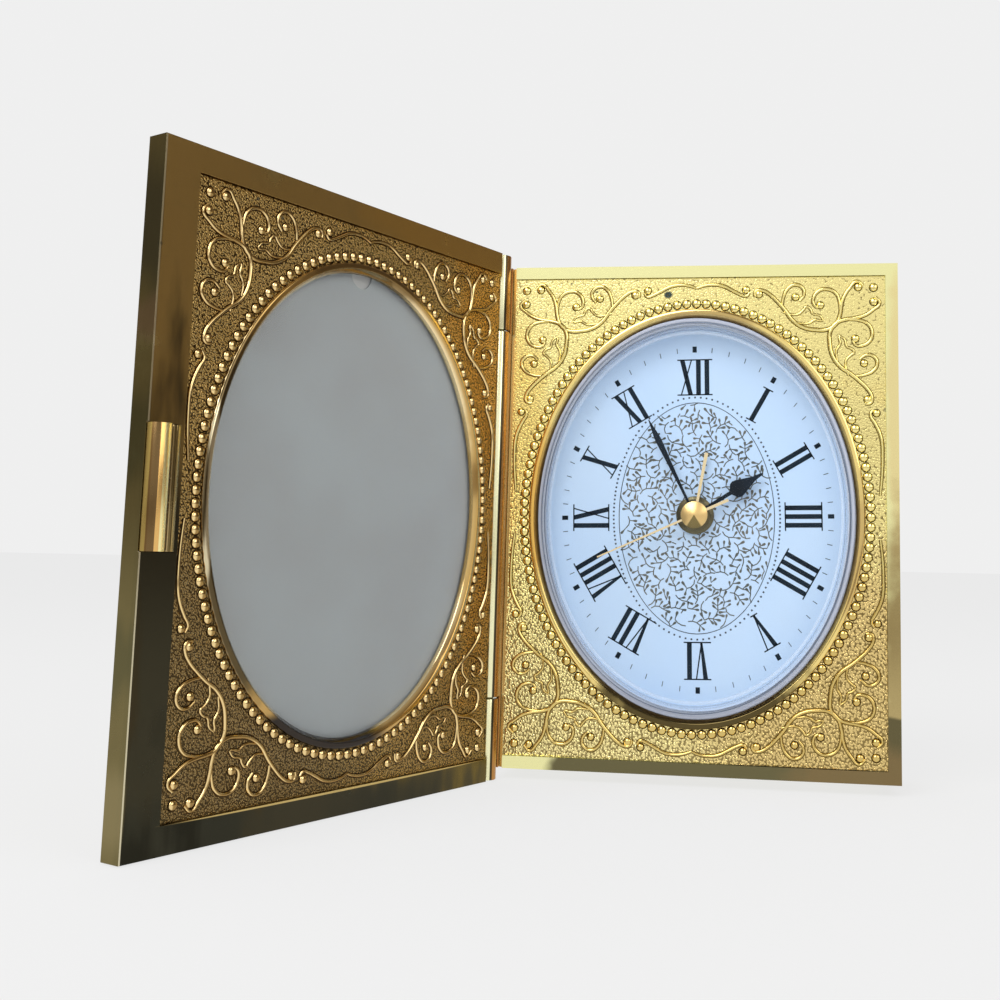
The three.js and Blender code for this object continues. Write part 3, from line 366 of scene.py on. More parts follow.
def new_group(name: str, inputs: dict[str, float | Point3], outputs: Sequence[str]) -> tuple:
    """Starts a node group whose first input is a place in millimetres.

    Args:
        name: group name.
        inputs: default of each further input by its name.
        outputs: name of each output value.

    Returns:
        Its sheet, the outputs of its input node, and its output node.
    """
    tree = bpy.data.node_groups.new(name, "ShaderNodeTree")
    for label, default in {"Place": (0, 0, 0), **inputs}.items():
        kind = "NodeSocketVector" if isinstance(default, tuple) else "NodeSocketFloat"
        tree.interface.new_socket(name=label, in_out="INPUT", socket_type=kind).default_value = default
    for label in outputs:
        tree.interface.new_socket(name=label, in_out="OUTPUT", socket_type="NodeSocketFloat")
    given = tree.nodes.new("NodeGroupInput").outputs
    return Sheet(tree), given, tree.nodes.new("NodeGroupOutput")


def build_pebble(name: str) -> bpy.types.NodeTree:
    """Stamped ground of small bosses: boss size and share of gaps in, height and gaps out.

    Args:
        name: group name.

    Returns:
        The node group.
    """
    sheet, given, out = new_group(name, {"Size": 0.5, "Cover": 0.5}, ["Height", "Gap"])
    scale = sheet.maths("DIVIDE", 1.0, given["Size"])
    drift = sheet.add("TexNoise", {
        "Vector": given["Place"], "Scale": sheet.maths("MULTIPLY", scale, 0.6), "Detail": 1.0,
    })
    bent = sheet.add("VectorMath", {
        0: drift.outputs["Color"], 1: (0.55, 0.35, 0.0), 2: given["Place"],
    }, operation="MULTIPLY_ADD")
    cells = sheet.add("TexVoronoi", {
        "Vector": bent.outputs["Vector"], "Scale": scale, "Randomness": 0.95,
    }, feature="F1", voronoi_dimensions="2D")
    reach = cells.outputs["Distance"]
    edge = sheet.span(given["Cover"], 0.0, 1.0, 0.66, 0.30)
    sheet.feed(out, {
        "Height": sheet.span(reach, 0.05, 0.7, 1.0, 0.0),
        "Gap": sheet.span(reach, edge, sheet.maths("ADD", edge, 0.2)),
    })
    return sheet.tree


def build_tarnish(name: str) -> bpy.types.NodeTree:
    """Dulled plating: share and patch size in, patches and small dark specks out.

    Args:
        name: group name.

    Returns:
        The node group.
    """
    sheet, given, out = new_group(name, {"Amount": 0.5, "Size": 20.0}, ["Mask", "Specks"])
    where = given["Place"]
    scale = sheet.maths("DIVIDE", 1.0, given["Size"])
    cloud = sheet.add("TexNoise", {"Vector": where, "Scale": scale, "Detail": 5.0, "Roughness": 0.62})
    edge = sheet.maths("SUBTRACT", 0.8, sheet.maths("MULTIPLY", given["Amount"], 0.6))
    dots = sheet.add("TexVoronoi", {"Vector": where, "Scale": 0.17, "Randomness": 1.0})
    speck = sheet.span(dots.outputs["Distance"], 0.075, 0.03)
    some = sheet.add("TexNoise", {"Vector": where, "Scale": 0.05})
    chosen = sheet.maths("GREATER_THAN", some.outputs["Fac"], 0.55)
    sheet.feed(out, {
        "Mask": sheet.span(cloud.outputs["Fac"], edge, sheet.maths("ADD", edge, 0.35)),
        "Specks": sheet.maths("MULTIPLY", speck, chosen),
    })
    return sheet.tree


def build_grain(name: str) -> bpy.types.NodeTree:
    """Very fine grain: grain size and stretch in, value out.

    Args:
        name: group name.

    Returns:
        The node group.
    """
    sheet, given, out = new_group(name, {"Size": 0.3, "Stretch": (1, 1, 1)}, ["Value"])
    noise = sheet.add("TexNoise", {
        "Vector": sheet.vector("MULTIPLY", given["Place"], given["Stretch"]),
        "Scale": sheet.maths("DIVIDE", 1.0, given["Size"]), "Detail": 3.0,
    })
    sheet.feed(out, {"Value": noise.outputs["Fac"]})
    return sheet.tree


def effect(sheet: Sheet, kind: Effect, inputs: dict[str, object]) -> bpy.types.NodeOutputs:
    """Places a shared effect in a material's sheet.

    Args:
        sheet: sheet of the material.
        kind: effect to place.
        inputs: values or linked sockets by the effect's input names.

    Returns:
        The effect's outputs.
    """
    node = sheet.tree.nodes.new("ShaderNodeGroup")
    node.node_tree = kind.tree()
    return sheet.feed(node, inputs).outputs


def leaf_place(sheet: Sheet, leaf: Leaf) -> Socket:
    """Place in a leaf's own millimetres, from the object coordinates.

    Args:
        sheet: sheet of the material.
        leaf: leaf whose axes count.

    Returns:
        The place as a vector.
    """
    turn = leaf.matrix.to_3x3().transposed()
    shift = turn @ leaf.matrix.translation
    mapping = sheet.add("Mapping", {
        "Vector": sheet.add("TexCoord").outputs["Object"], "Location": tuple(-shift),
        "Rotation": tuple(turn.to_euler("XYZ")), "Scale": (1 / MM, 1 / MM, 1 / MM),
    })
    return mapping.outputs["Vector"]


def new_material(name: str) -> tuple[bpy.types.Material, Sheet, bpy.types.Node]:
    """Starts a material.

    Args:
        name: material name.

    Returns:
        The material, its sheet and its Principled shader.
    """
    material = bpy.data.materials.new(name)
    material.use_nodes = True
    sheet = Sheet(material.node_tree)
    return material, sheet, material.node_tree.nodes["Principled BSDF"]


# Finishes

@dataclass(frozen=True)
class Wash:
    """Soft oval patch of another tone, placed in its leaf's own millimetres.

    Args:
        tone: colour of the patch.
        centre: middle of the patch.
        reach: half width and half height, where it has faded out.
        strength: share of the tone in the middle.
        ragged: how uneven its edge is.
        core: share of the reach that keeps the full strength.
        over: whether it also covers the painted tone at the foot of the relief.
        depth: how far below the rim it has faded out, or zero for all the way down.
    """

    tone: Point3
    centre: Point2
    reach: Point2
    strength: float = 0.9
    ragged: float = 0.35
    core: float = 0.5
    over: bool = False
    depth: float = 0.0

    def share(self, sheet: Sheet, place: Socket, cloud: Socket) -> Socket:
        """Share of the tone at each place.

        Args:
            sheet: sheet of the material.
            place: place in leaf millimetres.
            cloud: uneven value from 0 to 1.

        Returns:
            The share as a value.
        """
        scale = (1 / self.reach[0], 1 / self.reach[1], 1 / self.depth if self.depth else 0.0)
        shift = (-self.centre[0] * scale[0], -self.centre[1] * scale[1], -RIM_TOP * scale[2])
        near = sheet.add("Mapping", {"Vector": place, "Location": shift, "Scale": scale})
        length = sheet.vector("LENGTH", near.outputs["Vector"])
        uneven = sheet.maths("MULTIPLY", sheet.maths("SUBTRACT", cloud, 0.5), 2 * self.ragged)
        return sheet.span(sheet.maths("ADD", length, uneven), 1.0, self.core, 0.0, self.strength)


def band(
    tone: Point3, x: float, half: float, strength: float = 0.95, ragged: float = 0.0, core: float = 0.8,
    tall: float = 400, depth: float = 0.0,
) -> Wash:
    """Wash that makes an upright band over the whole height of a leaf.

    Args:
        tone: colour of the band.
        x: its middle in leaf millimetres.
        half: half width.
        strength: share of the tone in the middle.
        ragged: how uneven its edges are.
        core: share of the half width that keeps the full strength.
        tall: half height, far past the leaf's ends.
        depth: how far below the rim it has faded out, or zero for all the way down.

    Returns:
        The wash.
    """
    return Wash(tone, (x, 0), (half, tall), strength, ragged, core, depth=depth)


@dataclass(frozen=True)
class Finish:
    """Surface of a piece, made into a material the first time it is asked for.

    Args:
        name: material name.
    """

    name: str

    def material(self) -> bpy.types.Material:
        """The finish as a material.

        Returns:
            The material, the same one at every call.
        """
        label = f"{self.name}_finish"
        known = bpy.data.materials.get(label)
        if known:
            return known
        material, sheet, shader = new_material(label)
        sheet.feed(shader, self.surface(sheet))
        return material

    def surface(self, sheet: Sheet) -> dict[str, object]:
        """Inputs of the Principled shader, by name."""
        raise NotImplementedError


@dataclass(frozen=True)
class GoldFinish(Finish):
    """Gold-plated metal with dull patches, washes of painted reflection and shade and of corrosion, fine
    grain and an optional stamped ground.

    Args:
        clean: colour of the bright plating.
        dull: colour of the tarnished plating.
        roughness: lowest and highest roughness.
        amount: share of dull patches.
        patch: patch size in millimetres.
        leaf: leaf whose axes the patterns follow.
        washes: patches of other tones: painted reflection, painted shade, painted highlight and corrosion
            spots.
        foot: heights between which the painted tone at the relief's foot fades out, or none.
        painted_foot_and_fan_tone: colour painted at that foot, painted shade in the relief's crease and
            on the clock bezel's inner slope, painted reflection on the lid bezel's inner slope; also the
            colour of the painted fan.
        pebble: size of the ground's bosses in millimetres, or zero.
        cover: share of gaps at the plate's foot and head.
        depth: height of the bosses in millimetres.
        gap: strength and colour of the painted shade in the gaps between the bosses.
        specks: darkness of the corrosion specks.
        stretch: stretch of the fine grain.
        fan: half angle in radians of a dark fan of painted reflection below the leaf's middle, or zero.
        lit: colour of a painted highlight on the slopes that are turned to the leaf's left, or none.
    """

    clean: Point3
    dull: Point3
    roughness: Point2 = (0.2, 0.4)
    amount: float = 0.5
    patch: float = 18.0
    leaf: Leaf = CLOCK
    washes: tuple[Wash, ...] = ()
    foot: Point2 | None = None
    painted_foot_and_fan_tone: Point3 = (0.10, 0.06, 0.012)
    pebble: float = 0.0
    cover: Point2 = (0.6, 0.6)
    depth: float = 0.08
    gap: tuple[float, Point3] = (0.8, (0.12, 0.075, 0.018))
    specks: float = 0.7
    stretch: Point3 = (1.0, 1.0, 1.0)
    fan: float = 0.0
    lit: Point3 | None = None

    grain_size = 0.6
    grain_height = 0.03
    grain_roughness = 0.4
    cloud_size = 5.0
    speck_tone = (0.03, 0.05, 0.05)
    fan_edge = (1.2, 0.9)
    lit_slope = (0.1, 0.45)
    lit_strength = 0.92
    foot_strength = 0.95
    foot_shade = 0.4

    def surface(self, sheet: Sheet) -> dict[str, object]:
        """Inputs of the Principled shader.

        Args:
            sheet: sheet of the material.

        Returns:
            Values and sockets by input name.
        """
        place = leaf_place(sheet, self.leaf)
        parts = sheet.add("SeparateXYZ", {0: place}).outputs
        patches = {"Place": place, "Amount": self.amount, "Size": self.patch}
        tarnish = effect(sheet, Effect.TARNISH, patches)
        grain, cloud = (
            effect(sheet, Effect.GRAIN, {"Place": place, "Size": size, "Stretch": self.stretch})["Value"]
            for size in (self.grain_size, self.cloud_size)
        )
        tone = sheet.blend(tarnish["Mask"], self.clean, self.dull)
        # Washes under the foot tone: painted reflection and shade, and corrosion spots.
        tone = self.washed(sheet, tone, place, cloud, over=False)
        # Painted reflection: a dark fan below the middle, the dark sector that a polished cone mirrors.
        if self.fan > 0:
            below = sheet.maths("MULTIPLY", parts["Y"], -1.0)
            lean = sheet.maths("ARCTAN2", sheet.maths("ABSOLUTE", parts["X"]), below)
            edges = (edge * self.fan for edge in self.fan_edge)
            tone = sheet.blend(sheet.span(lean, *edges), tone, self.painted_foot_and_fan_tone)
        # Painted highlight: slopes turned to the leaf's left take a lighter tone.
        if self.lit:
            left = tuple(-self.leaf.matrix.to_3x3().col[0])
            turned_left = sheet.vector("DOT_PRODUCT", sheet.add("TexCoord").outputs["Normal"], left)
            share = sheet.span(turned_left, *self.lit_slope, 0.0, self.lit_strength)
            tone = sheet.blend(share, tone, self.lit)
        height = sheet.maths("MULTIPLY", grain, self.grain_height)
        if self.pebble > 0:
            cover = sheet.span(parts["Y"], -HALF_H, HALF_H, *self.cover)
            pebble = effect(sheet, Effect.PEBBLE, {"Place": place, "Size": self.pebble, "Cover": cover})
            lift = sheet.maths("MULTIPLY", pebble["Height"], sheet.maths("ADD", cover, 0.15))
            height = sheet.maths("ADD", height, lift)
            # Painted shade in the gaps between the bosses.
            tone = sheet.blend(sheet.maths("MULTIPLY", pebble["Gap"], self.gap[0]), tone, self.gap[1])
        # Painted tone low down: painted shade in the crease at the relief's foot and on the clock bezel's
        # inner slope, painted reflection on the lid bezel's inner slope.
        if self.foot:
            deep = tuple(self.foot_shade * value for value in self.painted_foot_and_fan_tone)
            base = sheet.blend(tarnish["Mask"], self.painted_foot_and_fan_tone, deep)
            share = sheet.span(parts["Z"], *self.foot[::-1], 0.0, self.foot_strength)
            tone = sheet.blend(share, tone, base)
        # Washes over the foot tone: painted highlight and painted reflection.
        tone = self.washed(sheet, tone, place, cloud, over=True)
        rough = sheet.maths("ADD", tarnish["Mask"], sheet.maths("MULTIPLY", grain, self.grain_roughness))
        bump = sheet.add("Bump", {"Height": height, "Strength": 1.0, "Distance": self.depth * MM})
        spotted = sheet.maths("MULTIPLY", tarnish["Specks"], self.specks)
        return {
            "Base Color": sheet.blend(spotted, tone, self.speck_tone),
            "Roughness": sheet.span(rough, 0.0, 1.3, *self.roughness),
            "Normal": bump.outputs["Normal"],
            "Metallic": 1.0,
        }

    def washed(self, sheet: Sheet, tone: Socket, place: Socket, cloud: Socket, over: bool) -> Socket:
        """Lays the washes over a tone.

        Args:
            sheet: sheet of the material.
            tone: tone under the washes.
            place: place in leaf millimetres.
            cloud: uneven value from 0 to 1.
            over: whether to take the washes that cover the foot, or the others.

        Returns:
            The washed tone.
        """
        for wash in self.washes:
            if wash.over == over:
                tone = sheet.blend(wash.share(sheet, place, cloud), tone, wash.tone)
        return tone


@dataclass(frozen=True)
class MatteFinish(Finish):
    """Plain non-metal such as card, plastic or printed ink, with a soft mottle.

    Args:
        colour: main colour.
        shade: colour of the mottled patches.
        roughness: surface roughness.
        size: mottle size in millimetres.
        relief: height of the fine grain in millimetres.
        coat: clear coat weight.
        specular: strength of its shine.
    """

    colour: Point3
    shade: Point3
    roughness: float = 0.5
    size: float = 10.0
    relief: float = 0.01
    coat: float = 0.0
    specular: float = 0.5

    grain_size = 0.25
    grain_strength = 0.5
    mottle_edge = (0.3, 0.7)

    def surface(self, sheet: Sheet) -> dict[str, object]:
        """Inputs of the Principled shader.

        Args:
            sheet: sheet of the material.

        Returns:
            Values and sockets by input name.
        """
        place = leaf_place(sheet, CLOCK)
        patch, grain = (
            effect(sheet, Effect.GRAIN, {"Place": place, "Size": size})["Value"]
            for size in (self.size, self.grain_size)
        )
        bump = sheet.add("Bump", {
            "Height": grain, "Strength": self.grain_strength, "Distance": self.relief * MM,
        })
        return {
            "Base Color": sheet.blend(sheet.span(patch, *self.mottle_edge), self.colour, self.shade),
            "Normal": bump.outputs["Normal"],
            "Roughness": self.roughness,
            "Coat Weight": self.coat,
            "Specular IOR Level": self.specular,
        }


@dataclass(frozen=True)
class Ring:
    """Band of painted reflection on a clear piece, following the sight oval.

    Args:
        offset: distance of its middle outside the sight oval.
        half: half width.
        tone: colour of the band.
        film: how much it hides of what lies behind it.
    """

    offset: float
    half: float
    tone: Point3
    film: float


@dataclass(frozen=True)
class ClearFinish(Finish):
    """Thin clear plastic: almost nothing face on, a pale film at grazing angles that stands in for
    reflection, rings of painted reflection at its edge.

    Args:
        tint: colour of the film.
        film: alpha seen face on.
        rim: alpha at grazing angles.
        rings: bands of painted reflection near the edge.
    """

    tint: Point3 = (0.86, 0.90, 0.95)
    film: float = 0.05
    rim: float = 0.6
    rings: tuple[Ring, ...] = ()

    haze_size = 30.0
    haze_strength = 0.006
    facing_blend = 0.35
    facing_edge = (0.1, 0.95)
    roughness = 0.04
    specular = 0.06

    def surface(self, sheet: Sheet) -> dict[str, object]:
        """Inputs of the Principled shader.

        Args:
            sheet: sheet of the material.

        Returns:
            Values and sockets by input name.
        """
        place = leaf_place(sheet, CLOCK)
        # Painted reflection: the pale tint shows more at grazing angles.
        facing = sheet.add("LayerWeight", {"Blend": self.facing_blend}).outputs["Facing"]
        grain = effect(sheet, Effect.GRAIN, {"Place": place, "Size": self.haze_size})["Value"]
        haze = sheet.maths("MULTIPLY", grain, self.haze_strength)
        alpha = sheet.maths("ADD", sheet.span(facing, *self.facing_edge, self.film, self.rim), haze, True)
        reach = sheet.vector("LENGTH", sheet.vector("MULTIPLY", place, (1 / SIGHT_A, 1 / SIGHT_B, 0.0)))
        outside = sheet.maths("MULTIPLY", sheet.maths("SUBTRACT", reach, 1.0), (SIGHT_A + SIGHT_B) / 2)
        tone = self.tint
        # Painted reflection: pale and dark rings at the stepped edge.
        for ring in self.rings:
            away = sheet.maths("ABSOLUTE", sheet.maths("SUBTRACT", outside, ring.offset))
            share = sheet.span(away, ring.half, 0.5 * ring.half)
            tone = sheet.blend(share, tone, ring.tone)
            alpha = sheet.maths("MAXIMUM", alpha, sheet.maths("MULTIPLY", share, ring.film))
        return {
            "Base Color": tone if self.rings else (*self.tint, 1.0),
            "Alpha": alpha,
            "Roughness": self.roughness,
            "Specular IOR Level": self.specular,
        }


def clock_washes(*more: Wash) -> tuple[Wash, ...]:
    """Three dark corrosion spots of the clock leaf, over other washes.

    Args:
        more: washes under the spots.

    Returns:
        All the washes.
    """
    spot = (0.012, 0.045, 0.06)
    places = [(-5.6, 43.4), (37.0, 20.6), (-33.4, 6.0)]
    return (*more, *(Wash(spot, place, (1.1, 0.9), 0.95, 0.5) for place in places))


# Dark tones painted low down on the polished rims: painted reflection of a dark floor.
OLIVE_BLACK = (0.022, 0.021, 0.014)
OLIVE = (0.135, 0.115, 0.055)


class Finishes:
    """The clock's finishes by place."""

    # Clock ground: washes of painted reflection, darker at the lower right, paler at the lower left and
    # orange at the left, under three real corrosion spots; painted shade in the gaps between the bosses.
    plate = GoldFinish(
        "plate_gold", (0.97, 0.83, 0.34), (0.88, 0.66, 0.21), (0.2, 0.36), 0.45, 16, CLOCK,
        clock_washes(
            Wash((0.76, 0.55, 0.22), (34, -44), (44, 48), 0.85),
            Wash((0.97, 0.82, 0.38), (-28, -50), (40, 34), 0.7),
            Wash((0.93, 0.62, 0.13), (-36, 16), (9, 30), 0.5),
        ),
        pebble=0.46, cover=(0.78, 0.10), gap=(0.78, (0.17, 0.11, 0.03)), depth=0.075,
    )
    # Clock relief: washes of painted reflection, darker and more orange towards the bottom; painted shade
    # in the crease at its foot.
    relief = GoldFinish(
        "relief_gold", (0.98, 0.84, 0.34), (0.92, 0.70, 0.24), (0.12, 0.26), 0.4, 10, CLOCK,
        (
            Wash((0.66, 0.46, 0.14), (32, -44), (44, 46), 0.8),
            Wash((0.76, 0.56, 0.19), (-20, -52), (60, 40), 0.8),
        ),
        foot=(0.06, 0.12), painted_foot_and_fan_tone=(0.15, 0.10, 0.024),
    )
    # Clock rim: painted reflection, darker down the right side, dark olive along the bottom, and copper
    # on the wall beside the hinge.
    rim = GoldFinish(
        "rim_gold", (0.97, 0.93, 0.46), (0.86, 0.78, 0.34), (0.16, 0.36), 0.35, 30, CLOCK,
        (
            Wash((0.88, 0.70, 0.32), (39, 22), (3, 34), 0.7),
            Wash((0.46, 0.34, 0.14), (39, -36), (5, 44), 0.9),
            Wash(OLIVE, (19.5, -49.5), (48, 14), 0.96, 0.03, 0.95, depth=1.2),
            Wash((0.26, 0.18, 0.08), (32, -49.5), (16, 10), 0.8, depth=1.2),
            band((0.34, 0.15, 0.035), -37.6, 1.3, tall=300, depth=1.2),
        ),
    )
    # Clock bezel: painted reflection, dark at the bottom, darker at the top and right, orange at the
    # left; painted shade on its inner slope.
    bezel = GoldFinish(
        "bezel_gold", (0.98, 0.76, 0.28), (0.88, 0.60, 0.18), (0.1, 0.22), 0.3, 25, CLOCK,
        (
            Wash((0.07, 0.05, 0.02), (2, -46), (36, 24), 0.95, core=0.6),
            Wash((0.50, 0.34, 0.14), (4, 43), (26, 8), 0.7),
            Wash((0.84, 0.46, 0.09), (-35, 2), (9, 30), 0.8),
            Wash((0.60, 0.40, 0.15), (33, -16), (7, 30), 0.7),
        ),
        foot=(-0.2, 0.42), painted_foot_and_fan_tone=(0.20, 0.115, 0.04),
    )
    # Lid ground: the clock's gold painted much darker, a copy in painted shade and reflection; washes of
    # painted reflection, orange at the right and darker at the lower left; painted shade in the gaps
    # between the bosses.
    lid_plate = GoldFinish(
        "lid_plate_gold", (0.44, 0.29, 0.10), (0.32, 0.20, 0.06), (0.16, 0.30), 0.45, 14, LID,
        (
            Wash((0.56, 0.28, 0.045), (34, 12), (18, 60), 0.85),
            Wash((0.24, 0.165, 0.07), (-30, -40), (44, 46), 0.8),
        ),
        pebble=0.33, cover=(0.80, 0.66), gap=(0.85, (0.030, 0.020, 0.008)), depth=0.09,
    )
    # Lid relief: a darker copy of the clock's gold in painted shade and reflection; painted highlight on
    # the slopes turned to the leaf's left; painted shade in the crease at its foot.
    lid_relief = GoldFinish(
        "lid_relief_gold", (0.36, 0.225, 0.075), (0.24, 0.15, 0.05), (0.10, 0.20), 0.4, 10, LID,
        foot=(0.06, 0.11), painted_foot_and_fan_tone=(0.045, 0.028, 0.01), lit=(1.0, 0.75, 0.36),
    )
    # Lid rim: a darker copy of the clock's gold in painted shade and reflection.
    lid_rim = GoldFinish(
        "lid_rim_gold", (0.50, 0.33, 0.11), (0.27, 0.20, 0.075), (0.2, 0.42), 0.5, 14, LID,
        (
            # Painted reflection: orange at the top, dark and olive-black low down and down the left side.
            Wash((0.60, 0.36, 0.09), (22, 50), (30, 6), 0.7),
            Wash((0.14, 0.10, 0.025), (26, -51), (34, 10), 0.92, 0.1, depth=1.4),
            Wash(OLIVE_BLACK, (-40, -36), (26, 66), 0.94, 0.5, depth=1.4),
            Wash(OLIVE_BLACK, (-20, -51), (58, 10), 0.92, depth=1.4),
            Wash((0.050, 0.047, 0.030), (-38, -24), (6, 44), 0.6, 1.3, depth=1.4),
            Wash((0.050, 0.048, 0.032), (0, -50), (44, 6), 0.55, 1.3, depth=1.4),
            # Painted highlight: a thin bright line along the lower edge of the plate.
            Wash((0.66, 0.48, 0.18), (0, -46.8), (38, 0.45), 0.9, 0.0, 0.8),
            # Painted reflection: olive on the outer side strip, with uneven darker and lighter patches
            # along it.
            band((0.18, 0.145, 0.055), -43.6, 1.0, 0.97),
            Wash((0.052, 0.050, 0.030), (-42.9, 38), (0.6, 17), 0.7, 0.4, 0.3),
            Wash((0.26, 0.17, 0.10), (-42.9, 24), (0.6, 5), 0.6, 0.4, 0.3),
            Wash((0.09, 0.085, 0.035), (-42.9, 8), (0.6, 9), 0.7, 0.5, 0.3),
            Wash((0.09, 0.085, 0.035), (-42.9, -24), (0.6, 8), 0.6, 0.5, 0.3),
            Wash((0.30, 0.24, 0.11), (-42.9, -44), (0.6, 7), 0.6, 0.4, 0.3),
            # Painted highlight: a thin bright line on the front-left edge.
            band((0.80, 0.72, 0.50), -42.74, 0.15, 0.85, 0.0, 0.7, tall=500),
        ),
        stretch=(1.0, 0.22, 1.0),
    )
    # Lid bezel: a darker copy of the clock's gold in painted shade and reflection.
    lid_bezel = GoldFinish(
        "lid_bezel_gold", (0.60, 0.38, 0.13), (0.44, 0.27, 0.09), (0.12, 0.24), 0.12, 25, LID,
        (
            # Painted reflection: dark down the left and darker at the top.
            Wash((0.07, 0.055, 0.03), (-34, -8), (22, 56), 0.92),
            Wash((0.26, 0.16, 0.06), (0, 42), (30, 12), 0.85),
            # Painted highlight down the left; painted reflection, near black at the bottom, darker at the
            # top and at the right.
            Wash((1.0, 0.86, 0.56), (-31.2, 2), (1.0, 26), 0.7, 0.1, over=True),
            Wash((0.02, 0.022, 0.028), (-10, -39.5), (20, 7), 0.95, 0.1, 0.75, True),
            Wash((0.24, 0.15, 0.055), (0, 42), (26, 9), 0.85, over=True),
            Wash((0.62, 0.40, 0.13), (34, -4), (9, 44), 0.85, over=True),
        ),
        # Painted reflection: the inner slope painted light.
        foot=(-0.2, 0.42), painted_foot_and_fan_tone=(1.0, 0.80, 0.46),
    )
    # Clasp: bands of painted reflection and painted highlight across the polished half-round and its
    # steps.
    clasp = GoldFinish(
        "clasp_gold", (1.0, 0.88, 0.43), (0.98, 0.82, 0.36), (0.26, 0.38), 0.25, 12, LID,
        (
            band((1.0, 0.74, 0.28), -40.4, 0.5, 0.8, 0.35, 0.5),
            band((0.84, 0.50, 0.16), -41.5, 0.36, 0.95, 0.03),
            band((0.36, 0.24, 0.06), -42.9, 0.44),
            band((0.16, 0.085, 0.03), -42.2, 0.45, 0.95, 0.08, 0.85),
            band((0.13, 0.08, 0.025), -39.5, 0.6, 0.95, 0.0, 0.9),
            band((0.14, 0.09, 0.03), -38.2, 1.15, 0.95, 0.0, 0.9),
            band((0.46, 0.34, 0.16), -38.65, 0.26, 0.9, 0.0, 0.6),
            band((0.46, 0.33, 0.13), -37.7, 0.3, 0.9, 0.0, 0.6),
        ),
    )
    # Hinge: paler than the other gold as a painted highlight, with a copper band of painted reflection on
    # the knuckle's right side and the strips beside the clock's wall, and a dark line of painted shade
    # between them.
    hinge = GoldFinish(
        "hinge_gold", (1.0, 0.96, 0.60), (0.97, 0.86, 0.48), (0.26, 0.38), 0.25, 12, CLOCK,
        (
            band((0.50, 0.23, 0.055), -35.4, 2.4, 0.96, 0.0, 0.9, tall=300),
            band((0.03, 0.018, 0.008), -37.74, 0.24, 0.95, 0.0, 0.6, tall=300),
        ),
        stretch=(1, 0.1, 1),
    )
    # Cap: the dark fan below its middle is painted reflection.
    cap = GoldFinish(
        "cap_gold", (0.88, 0.62, 0.26), (0.78, 0.54, 0.22), (0.34, 0.44), 0.2, 8,
        painted_foot_and_fan_tone=(0.26, 0.20, 0.08), specks=0.0, fan=0.55,
    )
    cover = GoldFinish("cover_gold", (0.86, 0.68, 0.30), (0.60, 0.45, 0.17), (0.24, 0.46), 0.45, 40)
    steel = GoldFinish(
        "plain_steel", (0.62, 0.62, 0.62), (0.40, 0.40, 0.40), (0.25, 0.45), 0.3, 10, specks=0.0,
    )
    copper = GoldFinish(
        "copper_wire", (0.80, 0.42, 0.20), (0.50, 0.24, 0.10), (0.3, 0.45), 0.3, 6, specks=0.0,
    )
    hand_gold = GoldFinish(
        "hand_gold", (0.95, 0.78, 0.48), (0.80, 0.60, 0.32), (0.14, 0.28), 0.2, 8, specks=0.0,
    )
    nut = GoldFinish("nut_dark", (0.16, 0.14, 0.08), (0.08, 0.07, 0.04), (0.3, 0.5), 0.4, 3, specks=0.0)
    dark_card = MatteFinish("dark_card", (0.20, 0.17, 0.14), (0.26, 0.22, 0.18), 0.9, 200)
    card = MatteFinish("card_grey", (0.30, 0.325, 0.325), (0.27, 0.28, 0.275), 0.7, 22, 0.002)
    paper = MatteFinish("pale_pad", (0.52, 0.52, 0.50), (0.45, 0.45, 0.43), 0.8, 8)
    dial = MatteFinish("dial_face", (0.49, 0.665, 0.90), (0.52, 0.68, 0.88), 0.45, 30, 0.002)
    surround = MatteFinish("dial_surround", (0.52, 0.58, 0.68), (0.60, 0.65, 0.74), 0.5, 20, 0.004)
    ink = MatteFinish(
        "numeral_ink", (0.004, 0.010, 0.018), (0.008, 0.018, 0.030), 0.5, 4, 0.002, specular=0.1,
    )
    fine_ink = MatteFinish(
        "fine_ink", (0.045, 0.055, 0.075), (0.08, 0.095, 0.12), 0.5, 4, 0.002, specular=0.1,
    )
    sprig = MatteFinish(
        "sprig_ink", (0.095, 0.105, 0.098), (0.17, 0.165, 0.145), 0.5, 9, 0.002, specular=0.1,
    )
    hand_black = MatteFinish(
        "hand_black", (0.004, 0.008, 0.014), (0.010, 0.018, 0.030), 0.4, 6, 0.002, specular=0.15,
    )
    black = MatteFinish("black_plastic", (0.018, 0.018, 0.02), (0.03, 0.03, 0.032), 0.5, 14, 0.02)
    natural = MatteFinish("natural_plastic", (0.72, 0.68, 0.58), (0.62, 0.58, 0.48), 0.5, 6)
    red = MatteFinish("red_plastic", (0.46, 0.04, 0.03), (0.38, 0.03, 0.02), 0.45, 6)
    board = MatteFinish("green_board", (0.03, 0.16, 0.07), (0.02, 0.12, 0.05), 0.4, 4)
    shell = MatteFinish("battery_sleeve", (0.05, 0.10, 0.17), (0.08, 0.13, 0.2), 0.35, 12, coat=0.4)
    # Crystal: the pale and dark rings stand for the light and dark at its stepped edge, painted
    # reflection.
    crystal = ClearFinish("crystal_clear", film=0.0, rim=0.35, rings=(
        Ring(-0.45, 0.55, (0.62, 0.66, 0.78), 0.55),
        Ring(-1.15, 0.20, (0.14, 0.18, 0.26), 0.75),
        Ring(-1.7, 0.32, (0.66, 0.74, 0.88), 0.28),
        Ring(-2.3, 0.14, (0.26, 0.32, 0.44), 0.32),
        Ring(-2.95, 0.35, (0.72, 0.80, 0.92), 0.18),
    ))
    window = ClearFinish("window_clear", film=0.03, rim=0.35)


# Pieces

